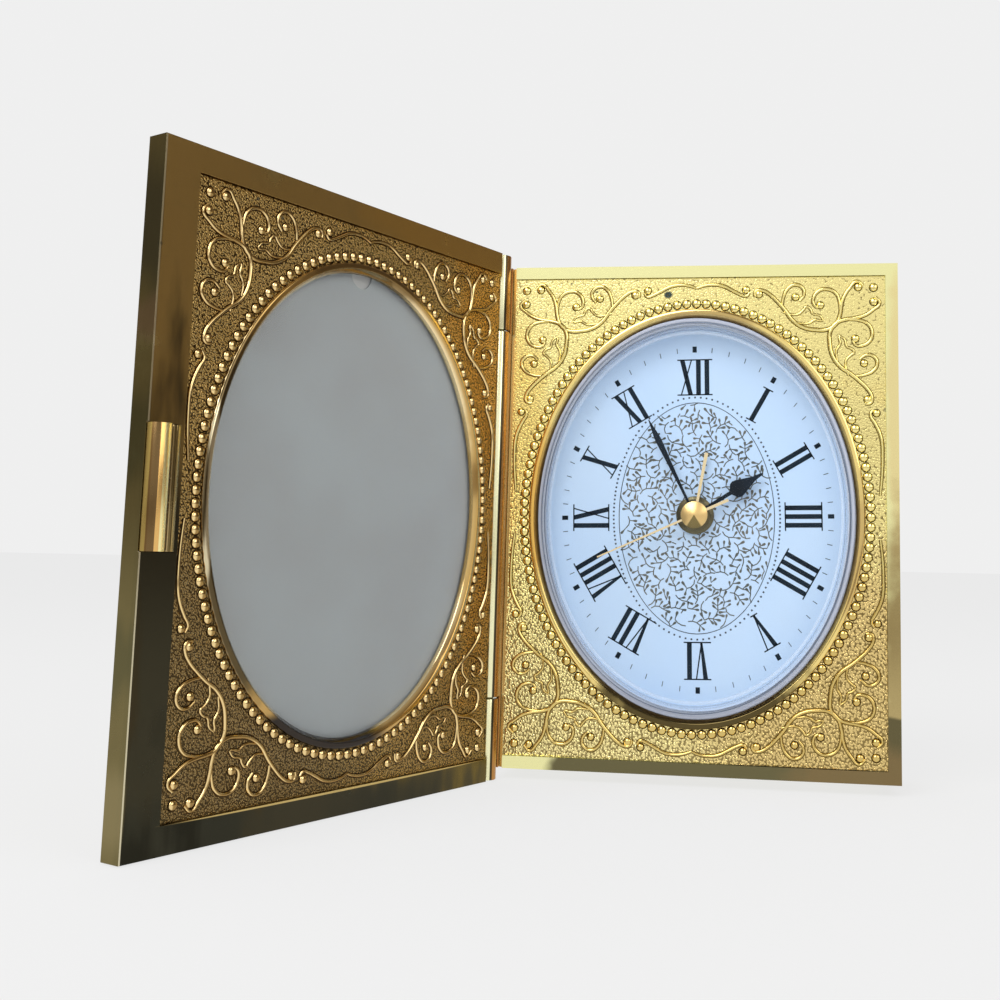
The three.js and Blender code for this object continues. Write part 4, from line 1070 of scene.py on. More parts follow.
def linked(name: str, data: bpy.types.ID) -> bpy.types.Object:
    """Adds an object to the scene.

    Args:
        name: name of the object.
        data: mesh, curve, light or camera that it shows.

    Returns:
        The new object.
    """
    thing = bpy.data.objects.new(name, data)
    bpy.context.scene.collection.objects.link(thing)
    return thing


def finished(
    name: str,
    bm: BMesh,
    leaf: Leaf,
    finish: Finish,
    replaces: Iterable[str] = (),
    body: str | None = None,
    smooth: float = 40.0,
) -> None:
    """Turns a leaf mesh into a piece that rides on its body.

    Args:
        name: name of the piece.
        bm: mesh in leaf millimetres, used up here.
        leaf: leaf that the mesh belongs to.
        finish: finish of the piece.
        replaces: CAD nodes that the piece stands for.
        body: body to ride on when it isn't the leaf's own.
        smooth: angle in degrees under which faces shade smoothly.
    """
    mesh = bpy.data.meshes.new(name)
    bm.to_mesh(mesh)
    bm.free()
    mesh.transform(leaf.world())
    mesh.shade_smooth()
    mesh.set_sharp_from_angle(angle=math.radians(smooth))
    mesh.materials.append(finish.material())
    piece = linked(name, mesh)
    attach(piece, body or leaf.body)
    names = tuple(replaces)
    if names:
        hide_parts(*names)
    LOG.info("%s: %d faces", name, len(mesh.polygons))


def dress(nodes: Iterable[str], finish: Finish, edge: float = 0.0) -> None:
    """Gives CAD nodes a finish and, when an edge size is given, softened edges.

    Args:
        nodes: CAD node names.
        finish: their finish.
        edge: bevel width in millimetres.
    """
    material = finish.material()
    for name in nodes:
        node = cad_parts[name]
        if node.material_slots:
            for material_slot in node.material_slots:
                material_slot.material = material
        else:
            node.data.materials.append(material)
        if edge > 0:
            weld = node.modifiers.new("weld", "WELD")
            weld.merge_threshold = 2e-6
            flat = node.modifiers.new("flat", "DECIMATE")
            flat.decimate_type = "DISSOLVE"
            flat.angle_limit = math.radians(1)
            bevel = node.modifiers.new("edge", "BEVEL")
            bevel.width = edge * MM
            bevel.segments = 2
            bevel.limit_method = "ANGLE"
            bevel.angle_limit = math.radians(35)
            bevel.harden_normals = False
        LOG.info("dressed %s", name)


# Ornament

@dataclass
class OrnamentPlate:
    """Stamped plate: pebbled ground, ring of beads, and mirrored scrolls in each corner.

    Strokes and single beads are measured in millimetres from a corner of the plate, across and along.
    """

    leaf: Leaf
    node: str
    ground: GoldFinish
    relief: GoldFinish
    sheet: float = 0.5
    opening: float = 0.7
    bead_offset: float = 2.7
    bead_radius: float = 0.83
    bead_height: float = 0.48
    bead_count: int = 124
    ridge: float = 0.34
    ridge_height: float = 0.42
    brim: float = 0.12
    brim_height: float = 0.035
    opening_steps: int = 192
    ring_steps: int = 4000

    stroke_sizes = {
        "main_scroll": 1.0, "inner_spiral": 0.9, "outer_spiral": 0.9, "leaf_top": 0.66, "leaf_low": 0.66,
    }
    main_scroll = [
        (4.1, 1.9), (5.3, 0.95), (6.6, 2.2), (7.7, 3.85), (8.25, 5.8), (8.5, 7.45), (9.1, 9.1),
        (10.7, 10.35), (13.2, 10.5), (15.7, 9.95), (17.7, 8.55), (19.1, 6.6), (20.5, 4.95), (22.1, 3.4),
        (23.5, 2.6), (24.6, 2.6), (25.0, 3.3), (24.9, 3.85),
    ]
    inner_spiral = [
        (8.5, 6.9), (8.65, 4.95), (9.35, 3.3), (11.0, 2.45), (12.7, 2.85), (13.65, 4.4), (13.5, 5.6),
        (12.7, 6.2),
    ]
    outer_spiral = [
        (19.6, 5.5), (19.35, 3.85), (18.5, 2.2), (17.1, 1.5), (15.75, 2.2), (15.45, 3.55), (16.3, 4.8),
    ]
    leaf_top = [
        (19.5, 7.0), (18.3, 7.35), (16.6, 7.4), (15.5, 6.5), (15.0, 5.9), (14.1, 6.6), (13.9, 7.2),
        (12.4, 7.7), (11.7, 8.6),
    ]
    leaf_low = [(11.7, 8.6), (12.2, 8.7), (13.2, 8.5), (14.6, 9.2), (16.7, 9.05)]
    side_curve = [
        (2.4, 26.2), (2.85, 27.1), (2.1, 28.6), (1.3, 30.2), (0.75, 32.1), (0.6, 35.5), (0.75, 39.0),
        (1.1, 42.5),
    ]
    top_bracket = [
        (26.0, 3.0), (26.6, 3.7), (27.7, 3.4), (29.3, 2.6), (31.3, 1.6), (33.5, 1.35), (35.2, 1.6),
        (36.4, 2.05),
    ]
    beads_on_scroll = [(5.05, 2.12, 0.74), (24.2, 3.35, 0.74), (12.3, 5.65, 0.72), (17.1, 4.0, 0.7)]
    beads_once = [(2.14, 2.23, 0.78), (26.7, 2.45, 0.72), (1.7, 26.8, 0.7)]

    def build(self) -> None:
        """Builds the plate and all its relief as two pieces."""
        finished(f"{self.node}_ground", self.plate(), self.leaf, self.ground, [self.node])
        relief = self.ring()
        merged(relief, self.corners())
        finished(
            f"{self.node}_relief", relief, self.leaf, self.relief, [self.node], smooth=70,
        )

    def plate(self) -> BMesh:
        """Flat sheet with the oval opening.

        Returns:
            The sheet.
        """
        count = self.opening_steps
        bm = bmesh.new()
        outer = bmesh.ops.create_circle(bm, cap_ends=False, segments=count, radius=1.0)["verts"]
        corner = math.atan2(HALF_H, HALF_W)
        for vert in outer:
            angle = math.atan2(vert.co.y, vert.co.x)
            for target in (corner, math.pi - corner, -corner, corner - math.pi):
                if abs(angle - target) < math.pi / count:
                    angle = target
            c, s = math.cos(angle), math.sin(angle)
            reach = min(HALF_W / max(abs(c), 1e-9), HALF_H / max(abs(s), 1e-9))
            vert.co = (c * reach, s * reach, 0)
        inner = bmesh.ops.create_circle(bm, cap_ends=False, segments=count, radius=1.0)["verts"]
        bmesh.ops.scale(bm, vec=(SIGHT_A + self.opening, SIGHT_B + self.opening, 1), verts=inner)
        bmesh.ops.bridge_loops(bm, edges=bm.edges[:])
        raise_faces(bm, bm.faces[:], -self.sheet)
        return bm

    def bead(self, radius: float, height: float) -> BMesh:
        """Low round boss with a flat brim.

        Args:
            radius: radius of the boss.
            height: its height.

        Returns:
            The boss.
        """
        bm = bmesh.new()
        bmesh.ops.create_uvsphere(bm, u_segments=12, v_segments=8, radius=1.0)
        low = [vert for vert in bm.verts if vert.co.z < -0.2]
        bmesh.ops.delete(bm, geom=low, context="VERTS")
        bmesh.ops.scale(bm, vec=(radius, radius, height), verts=bm.verts)
        rim = [edge for edge in bm.edges if edge.is_boundary]
        flared = bmesh.ops.extrude_edge_only(bm, edges=rim)["geom"]
        verts = [item for item in flared if isinstance(item, bmesh.types.BMVert)]
        share = 1 + self.brim / radius
        bmesh.ops.scale(bm, vec=(share, share, 1), verts=verts)
        bmesh.ops.translate(bm, vec=(0, 0, 0.02), verts=bm.verts)
        bmesh.ops.holes_fill(bm, edges=[edge for edge in bm.edges if edge.is_boundary], sides=0)
        return bm

    def ring(self) -> BMesh:
        """Ring of beads at even steps round the opening.

        Returns:
            The beads as one mesh.
        """
        bm = bmesh.new()
        a, b = SIGHT_A + self.bead_offset, SIGHT_B + self.bead_offset
        turns = [2 * math.pi * i / self.ring_steps for i in range(self.ring_steps + 1)]
        points = [(a * math.cos(turn), b * math.sin(turn)) for turn in turns]
        lengths = [0.0]
        for here, there in zip(points, points[1:]):
            lengths.append(lengths[-1] + math.dist(here, there))
        index = 0
        for bead_index in range(self.bead_count):
            target = lengths[-1] * bead_index / self.bead_count
            while lengths[index] < target:
                index += 1
            place = Matrix.Translation((*points[index], 0))
            merged(bm, self.bead(self.bead_radius, self.bead_height), place)
        return bm

    def corners(self) -> BMesh:
        """Scrolls of one corner, mirrored about its diagonal and into the other corners.

        Returns:
            The scrolls and beads of all four corners as one mesh.
        """
        strokes: list[Stroke] = []
        for name, size in self.stroke_sizes.items():
            stroke = getattr(self, name)
            strokes += [(stroke, size), ([(y, x) for x, y in stroke], size)]
        strokes += [(self.side_curve, 0.9), (self.top_bracket, 0.9)]
        corner = swept(strokes, self.ridge, self.ridge_height)
        merged(corner, swept(strokes, self.ridge + self.brim, self.brim_height))
        beads = list(self.beads_once)
        for x, y, radius in self.beads_on_scroll:
            beads += [(x, y, radius), (y, x, radius)]
        for x, y, radius in beads:
            merged(corner, self.bead(radius, self.bead_height), Matrix.Translation((x, y, 0)))
        whole = bmesh.new()
        mesh = bpy.data.meshes.new("corner")
        corner.to_mesh(mesh)
        corner.free()
        for sx in (-1, 1):
            for sy in (-1, 1):
                copy = bmesh.new()
                copy.from_mesh(mesh)
                mirrored = Matrix.Diagonal((-sx, -sy, 1, 1))
                place = Matrix.Translation((sx * HALF_W, sy * HALF_H, 0)) @ mirrored
                bmesh.ops.transform(copy, matrix=place, verts=copy.verts)
                bmesh.ops.recalc_face_normals(copy, faces=copy.faces)
                merged(whole, copy)
        bpy.data.meshes.remove(mesh)
        return whole


def swept(strokes: Sequence[Stroke], radius: float, height: float) -> BMesh:
    """Rounded ridges along smooth strokes.

    Args:
        strokes: points of each stroke and its share of the full radius.
        radius: full half width of a ridge.
        height: height of a full ridge over its foot.

    Returns:
        The ridges as one mesh.
    """
    curve = bpy.data.curves.new("strokes", "CURVE")
    curve.dimensions = "3D"
    curve.bevel_depth = radius
    curve.bevel_resolution = 2
    curve.resolution_u = 5
    curve.use_fill_caps = True
    for points, share in strokes:
        spline = curve.splines.new("BEZIER")
        last = len(points) - 1
        spline.bezier_points.add(last)
        for i, (knot, (x, y)) in enumerate(zip(spline.bezier_points, points)):
            knot.co = (x, y, 0)
            knot.handle_left_type = knot.handle_right_type = "AUTO"
            knot.radius = share * (0.75 + 0.3 * math.sin(math.pi * i / last))
    carrier = linked("strokes", curve)
    graph = bpy.context.evaluated_depsgraph_get()
    mesh = bpy.data.meshes.new_from_object(carrier.evaluated_get(graph))
    bm = bmesh.new()
    bm.from_mesh(mesh)
    bmesh.ops.scale(bm, vec=(1, 1, height / radius), verts=bm.verts)
    bpy.data.objects.remove(carrier)
    bpy.data.curves.remove(curve)
    bpy.data.meshes.remove(mesh)
    return bm


@dataclass
class OvalBezel:
    """Polished ring round an opening: a flat land outside and a steep slope down to the glass."""

    leaf: Leaf
    node: str
    finish: GoldFinish
    neck_back: float
    width: float = 1.75
    neck: float = 0.6
    crest: float = 0.5

    def build(self) -> None:
        """Builds the ring over its CAD node."""
        crest, width = self.crest, self.width
        profile = [
            (0.0, self.neck_back), (0.0, -0.3), (0.06, -0.2), (0.62, crest - 0.1), (0.7, crest - 0.02),
            (0.8, crest), (1.3, crest - 0.02), (1.55, crest - 0.1), (1.7, 0.2), (width, 0.05),
            (width - 0.02, 0.02), (self.neck, 0.02), (self.neck, self.neck_back),
        ]
        ring = oval_turned(profile)
        finished(f"{self.node}_ring", ring, self.leaf, self.finish, [self.node], smooth=50)


@dataclass
class Crystal:
    """Clear hollow dome with a stepped edge."""

    height: float = 1.7
    foot: float = 1.05
    flange: float = -1.25
    back: float = -2.0
    inner: float = -2.0

    def build(self) -> None:
        """Builds the dome in one closed wall."""
        top, back, inner = self.height, self.back, self.inner
        profile = [(-SIGHT_B, top), (-9.0, top), (-3.0, top - 0.04)]
        profile += arc((-1.75, top - 0.4), (0.6, 0.4), 90, 0, 5)
        profile += [(-1.12, 0.75)]
        profile += arc((-0.6, 0.3), (0.35, 0.25), 90, 0, 4)
        profile += [(-0.25, self.flange), (self.foot, self.flange), (self.foot, back), (inner, back)]
        profile += [(inner, 0.1), (inner - 0.4, 0.5), (-SIGHT_B, 0.5)]
        bm = oval_turned(profile, 144, closed=False)
        finished("crystal_dome", bm, CLOCK, Finishes.crystal, ["crystal"])


# Dial

@dataclass
class Dial:
    """Printed dial: Roman numerals, minute marks, two ovals and a field of sprigs."""

    face: float = -3.2
    ink: float = 0.03
    ink_gap: float = 0.004
    shift: Point2 = (0.2, -0.35)
    turn: float = 1.2
    numeral_a: float = 20.8
    numeral_b: float = 27.7
    numeral_height: float = 7.25
    mark_a: float = 26.05
    mark_b: float = 33.3
    oval_a: float = 15.3
    oval_b: float = 22.65
    stem: float = 0.92
    hairline: float = 0.24
    hour_mark: Point2 = (0.42, 0.6)
    minute_mark: Point2 = (0.07, 0.5)
    dot: float = 0.17
    dots: int = 130
    line: float = 0.15
    line_steps: int = 144
    sprig_gap: float = 2.7
    sprig_seed: int = 7
    sprig_jitter: float = 0.4
    row_share: float = 0.87
    bare_radius: float = 3.6
    stem_parts: int = 3
    stem_part: float = 0.85
    leaf_lean: float = 58
    stem_spacing: float = 0.5
    leaf_spacing: float = 0.62

    advances = {"I": 1.68, "V": 3.1, "X": 3.1}
    hours = ["XII", "I", "II", "III", "IIII", "V", "VI", "VII", "VIII", "IX", "X", "XI"]
    club = [
        (-0.07, 0), (0.07, 0), (0.1, 0.6), (0.25, 1.15), (0.18, 1.5), (-0.18, 1.5), (-0.25, 1.15),
        (-0.1, 0.6),
    ]

    def build(self) -> None:
        """Dresses the dial sheet and builds its print."""
        dress(["dial"], Finishes.dial)
        self.numerals()
        self.marks()
        self.sprigs()

    def at(self, angle: float, a: float, b: float) -> Matrix:
        """Place on an oval in a given direction, turned so that its Y points outwards.

        Args:
            angle: clock angle in degrees.
            a: half width of the oval.
            b: half height of the oval.

        Returns:
            The placement.
        """
        turn = math.radians(angle)
        s, c = math.sin(turn), math.cos(turn)
        reach = 1 / math.hypot(s / a, c / b)
        return Matrix.Translation((s * reach, c * reach, 0)) @ Matrix.Rotation(-turn, 4, "Z")

    def stroke(self, bm: BMesh, corners: Sequence[Point2], move: Matrix) -> None:
        """Adds a flat printed patch just above the dial's face.

        Args:
            bm: mesh that takes it.
            corners: corners of the patch.
            move: its placement on the dial.
        """
        turn = Matrix.Rotation(math.radians(self.turn), 4, "Z")
        patch = slab(corners, self.face + self.ink_gap, self.face + self.ink)
        merged(bm, patch, Matrix.Translation((*self.shift, 0)) @ turn @ move)

    def bar(self, bm: BMesh, low: Point2, high: Point2, move: Matrix) -> None:
        """Adds a printed rectangle between two corners."""
        (x0, y0), (x1, y1) = low, high
        self.stroke(bm, [(x0, y0), (x1, y0), (x1, y1), (x0, y1)], move)

    def glyph(self, bm: BMesh, letter: str, x: float, move: Matrix) -> None:
        """Adds the strokes of one Roman letter.

        Args:
            bm: mesh that takes it.
            letter: I, V or X.
            x: left side of the letter.
            move: placement of the numeral.
        """
        h, stem, hair = self.numeral_height / 2, self.stem, self.hairline
        width = self.advances[letter]
        mid = x + width / 2
        if letter == "I":
            self.bar(bm, (mid - stem / 2, -h), (mid + stem / 2, h), move)
            return
        if letter == "V":
            left, right = x + 0.35, x + width - 0.35
            thick = [(mid - 0.12, -h), (mid + 0.32, -h), (left + stem, h), (left, h)]
            thin = [(mid - 0.12, -h), (mid + 0.14, -h), (right, h), (right - hair, h)]
        else:
            left, right = x + 0.25, x + width - 0.25
            thick = [(right - stem, -h), (right, -h), (left + stem, h), (left, h)]
            low, high = left + 0.12, right - 0.12
            thin = [(low, -h), (low + hair, -h), (high, h), (high - hair, h)]
        self.stroke(bm, thick, move)
        self.stroke(bm, thin, move)

    def numerals(self) -> None:
        """Prints the twelve hours, each with its head outwards and long hairline serifs."""
        bm = bmesh.new()
        h, hair = self.numeral_height / 2, self.hairline
        for hour, name in enumerate(self.hours):
            move = self.at(30 * hour, self.numeral_a, self.numeral_b)
            half = sum(self.advances[letter] for letter in name) / 2
            x = -half
            for letter in name:
                self.glyph(bm, letter, x, move)
                x += self.advances[letter]
            foot = 0.75 if name == "V" else half + 0.25
            self.bar(bm, (-half - 0.25, h - hair), (half + 0.25, h), move)
            self.bar(bm, (-foot, -h), (foot, -h + hair), move)
        finished("dial_numerals", bm, CLOCK, Finishes.ink)

    def marks(self) -> None:
        """Prints the hour and minute marks, the dot ring and the hairline oval."""
        hour_marks = bmesh.new()
        fine = bmesh.new()
        for minute in range(60):
            move = self.at(6 * minute, self.mark_a, self.mark_b)
            target, (w, h) = (hour_marks, self.hour_mark) if minute % 5 == 0 else (fine, self.minute_mark)
            self.bar(target, (-w, -h), (w, h), move)
        finished("dial_hour_marks", hour_marks, CLOCK, Finishes.ink)
        w = self.dot
        for dot in range(self.dots):
            move = self.at(360 * dot / self.dots, self.oval_a + 1, self.oval_b + 1)
            self.bar(fine, (-w, -w), (w, w), move)
        for step in range(self.line_steps):
            angles = [360 * (step + k) / self.line_steps for k in (0, 1)]
            ends = [self.at(angle, self.oval_a, self.oval_b) @ Vector((0, 0, 0)) for angle in angles]
            inner = [end * (1 - self.line / end.length) for end in ends]
            corners = [(p.x, p.y) for p in (ends[0], ends[1], inner[1], inner[0])]
            self.stroke(fine, corners, Matrix.Identity(4))
        finished("dial_fine_print", fine, CLOCK, Finishes.fine_ink)

    def sprigs(self) -> None:
        """Prints leafy sprigs, close together on a loose hexagonal net, all over the inner oval."""
        rng = random.Random(self.sprig_seed)
        bm = bmesh.new()
        taken: list[Vector] = []
        a, b, gap, jitter = self.oval_a, self.oval_b, self.sprig_gap, self.sprig_jitter
        rise = self.row_share * gap
        for row in range(int(2 * b / rise) + 1):
            for column in range(int(2 * a / gap) + 2):
                x = -a + gap * (column + 0.5 * (row % 2)) + rng.uniform(-jitter, jitter)
                y = -b + rise * row + rng.uniform(-jitter, jitter)
                if (x / a) ** 2 + (y / b) ** 2 < 0.98 and math.hypot(x, y) > self.bare_radius:
                    turn = Matrix.Rotation(rng.uniform(0, 2 * math.pi), 4, "Z")
                    self.sprig(bm, Matrix.Translation((x, y, 0)) @ turn, rng, taken)
        finished("dial_sprigs", bm, CLOCK, Finishes.sprig)

    def sprig(self, bm: BMesh, move: Matrix, rng: random.Random, taken: list[Vector]) -> None:
        """One curved stem with club-shaped leaves on alternate sides and a fan of them at its tip.

        Args:
            bm: mesh that takes it.
            move: placement of the sprig.
            rng: seeded source of small differences.
            taken: middles of what is already printed, which new leaves keep clear of.
        """
        bend = rng.choice((-1, 1)) * rng.uniform(0.3, 0.6)
        spots = [Vector((0.0, -1.5, 0.0))]
        heading = -bend
        for _ in range(self.stem_parts):
            spots.append(spots[-1] + self.stem_part * Vector((math.sin(heading), math.cos(heading), 0)))
            heading += bend
        for here, there in zip(spots, spots[1:]):
            side = 0.1 * Vector((here.y - there.y, there.x - here.x, 0)).normalized()
            patch = [here - side, there - side, there + side, here + side]
            middle = move @ ((here + there) / 2)
            if self.free(move @ there, middle, taken, self.stem_spacing):
                self.stroke(bm, [(p.x, p.y) for p in patch], move)
        taken += [move @ spot for spot in spots]
        for index, root in enumerate(spots[1:], start=1):
            along = root - spots[index - 1]
            ahead = -math.degrees(math.atan2(along.x, along.y))
            tip = (0,) if index == self.stem_parts else ()
            for lean in (*tip, self.leaf_lean, -self.leaf_lean):
                grow = rng.uniform(0.8, 1.1)
                turn = Matrix.Rotation(math.radians(ahead + lean + rng.uniform(-14, 14)), 4, "Z")
                place = move @ Matrix.Translation(root) @ turn
                middle = place @ Vector((0, 1.1 * grow, 0))
                if self.free(place @ Vector((0, 1.4 * grow, 0)), middle, taken, self.leaf_spacing):
                    self.stroke(bm, [(grow * x, grow * y) for x, y in self.club], place)
                    taken.append(middle)

    def free(self, tip: Vector, middle: Vector, taken: list[Vector], spacing: float) -> bool:
        """Whether a stroke stays within the hairline oval and clear of what is printed.

        Args:
            tip: outer end of the stroke.
            middle: its middle.
            taken: middles of what is already printed.
            spacing: least distance between middles.

        Returns:
            Whether it may be printed.
        """
        reach = (tip.x / (self.oval_a - 0.35)) ** 2 + (tip.y / (self.oval_b - 0.35)) ** 2
        return reach < 1 and all((middle - other).length > spacing for other in taken)


@dataclass
class HandStack:
    """Hands, their cap and the nut under them."""

    cap_radius: float = 2.6
    cap_base: float = -0.4
    cap_height: float = 0.65
    nut_radius: float = 3.7

    def build(self) -> None:
        """Builds the cap and the nut, and dresses the hands."""
        r, base, rise = self.cap_radius, self.cap_base, self.cap_height
        cone = turned([
            (0, base), (r - 0.05, base), (r, base + 0.05), (r, base + 0.14), (r - 0.06, base + 0.2),
            (0.3, base + rise - 0.03), (0, base + rise),
        ])
        names = ["second_hand_cap"]
        finished("second_hand_cone", cone, CLOCK, Finishes.cap, names, "seconds")
        r = self.nut_radius
        nut = turned([
            (2.5, -3.1), (r, -3.1), (r, -2.85), (r - 0.15, -2.7), (3.1, -2.6), (2.9, -2.35), (2.5, -2.3),
        ], closed=True)
        finished("mounting_nut_ring", nut, CLOCK, Finishes.nut, ["mounting_nut"])
        dress(["hour_hand", "minute_hand"], Finishes.hand_black)
        dress(["second_hand", "alarm_hand"], Finishes.hand_gold)


# Hinge and clasp

@dataclass
class Hinge:
    """Two hinge leaves with round knuckles, and the finish of the pin and rivets."""

    radius: float = 1.75
    split: float = 35.6
    gap: float = 0.3
    top: float = 51.0
    edge: float = 0.18

    def build(self) -> None:
        """Builds both leaves over their CAD nodes."""
        gold = Finishes.hinge
        low_end, high_end = (Vector((HINGE_X, side * self.split, HINGE_Z)) for side in (-1, 1))
        middle = bar(self.radius, low_end, high_end, self.edge)
        # A strip along the clock's side wall, and one from it up to the knuckle.
        merged(middle, block((-38.0, -49.15, -9.0), (-37.2, 49.15, 0.2), 0.1))
        merged(middle, block((-38.0, -self.split, -1.0), (-37.25, self.split, HINGE_Z), 0.05))
        finished("clock_hinge_knuckle", middle, CLOCK, gold, ["clock_hinge_leaf"])
        ends = bmesh.new()
        start = self.split + self.gap
        for side in (-1, 1):
            here, there = (Vector((-HINGE_X, side * y, LID_AXIS_Z)) for y in (start, self.top))
            merged(ends, bar(self.radius, here, there, self.edge))
            # A strip under the knuckle, and the plate beside it.
            low, high = sorted((side * start, side * 50.9))
            merged(ends, block((36.75, low, -2.55), (38.85, high, -1.9), 0.05))
            low, high = sorted((side * start, side * 49.3))
            merged(ends, block((34.6, low, -2.55), (37.0, high, -1.9)))
        # One more block joins the two plates.
        merged(ends, block((34.6, -start, -2.55), (36.6, start, -1.9)))
        finished("lid_hinge_knuckles", ends, LID, gold, ["lid_hinge_leaf"])
        # The pin takes the nut's dark finish: painted shade in the gaps between the knuckles.
        dress(["hinge_pin"], Finishes.nut)
        dress(["hinge_leaf_rivet_1", "hinge_leaf_rivet_2"], gold)


@dataclass
class Clasp:
    """Half-round bead on a stepped strip across the lid's free rim."""

    outer: float = -42.75
    inner: float = -37.3
    radius: float = 1.85
    half: float = 9.0
    base: float = 0.35
    sheet: float = 0.72
    ridge: float = 0.82

    def build(self) -> None:
        """Builds the clasp from its section."""
        centre = self.outer + self.radius
        section = [(self.outer, self.base), (self.outer, 0.5)]
        section += arc((centre, 0.5), (self.radius, self.radius), 180, 0, 18)
        section.append((centre + self.radius, self.sheet))
        for right in (self.inner - 1.15, self.inner - 0.45):
            section += [(right - 0.3, self.sheet), (right - 0.25, self.ridge)]
            section += [(right - 0.05, self.ridge), (right, self.sheet)]
        section += [(self.inner, self.sheet - 0.04), (self.inner, self.base)]
        bm = slab(section, -self.half, self.half)
        stand = Matrix.Rotation(math.radians(-90), 4, "X")
        bmesh.ops.transform(bm, matrix=Matrix.Diagonal((1, 1, -1, 1)) @ stand, verts=bm.verts)
        bmesh.ops.recalc_face_normals(bm, faces=bm.faces)
        soften(bm, 0.06, 50)
        finished("clasp_bead", bm, LID, Finishes.clasp, ["clasp"], smooth=35)


class Cases:
    """Frames, covers, and the pieces inside, which keep their CAD shape."""

    def build(self) -> None:
        """Dresses the CAD nodes that stay."""
        dress(["clock_frame"], Finishes.rim, 0.12)
        dress(["back_cover"], Finishes.cover, 0.25)
        dress(["lid_frame"], Finishes.lid_rim, 0.12)
        dress(["lid_back_cover"], Finishes.cover, 0.1)
        dress(["dial_surround"], Finishes.surround)
        dress(["dial_retainer", "backing_pad"], Finishes.paper)
        dress(["photo_card"], Finishes.card)
        dress(["lid_window"], Finishes.window)
        black = ["movement_front_plate", "movement_housing", "buzzer", "battery_door"]
        dress([*black, "time_set_knob", "alarm_set_knob"], Finishes.black, 0.12)
        dress(["alarm_switch"], Finishes.red, 0.12)
        wheels = ["motion_work", "alarm_setting", "alarm", "hour", "centre", "second", "intermediate"]
        dress([*(f"{wheel}_wheel" for wheel in [*wheels, "third"]), "coil_bobbin"], Finishes.natural)
        dress(["cannon_pinion"], Finishes.hand_gold)
        dress(["coil_winding"], Finishes.copper)
        dress(["circuit_board"], Finishes.board)
        dress(["battery"], Finishes.shell)
        steel = ["coil_core", "stator", "quartz_can", "rotor"]
        steel += [f"battery_contact_{end}" for end in ("negative", "positive")]
        steel += [f"back_cover_screw_{i}" for i in range(1, 5)]
        steel += [f"movement_screw_{i}" for i in range(1, 4)]
        dress(steel, Finishes.steel)


# Studio

def seen_rays(sheet: Sheet) -> Socket:
    """One for rays from the camera, off polish and through glass.

    Args:
        sheet: sheet of the material or world.

    Returns:
        The value.
    """
    rays = sheet.add("LightPath").outputs
    seen = sheet.maths("MAXIMUM", rays["Is Camera Ray"], rays["Is Glossy Ray"])
    return sheet.maths("MAXIMUM", seen, rays["Is Transmission Ray"])


def flat_card(name: str, size: Point2, material: bpy.types.Material) -> bpy.types.Object:
    """Flat rectangle that belongs to the studio.

    Args:
        name: name of the card.
        size: width and height in metres.
        material: its surface.

    Returns:
        The new object.
    """
    bm = bmesh.new()
    bmesh.ops.create_grid(bm, x_segments=1, y_segments=1, size=0.5)
    bmesh.ops.scale(bm, vec=(*size, 1), verts=bm.verts)
    mesh = bpy.data.meshes.new(name)
    bm.to_mesh(mesh)
    bm.free()
    mesh.materials.append(material)
    return linked(name, mesh)


def degrees(turn: Point3) -> tuple[float, ...]:
    """Rotation in radians from one in degrees."""
    return tuple(math.radians(value) for value in turn)


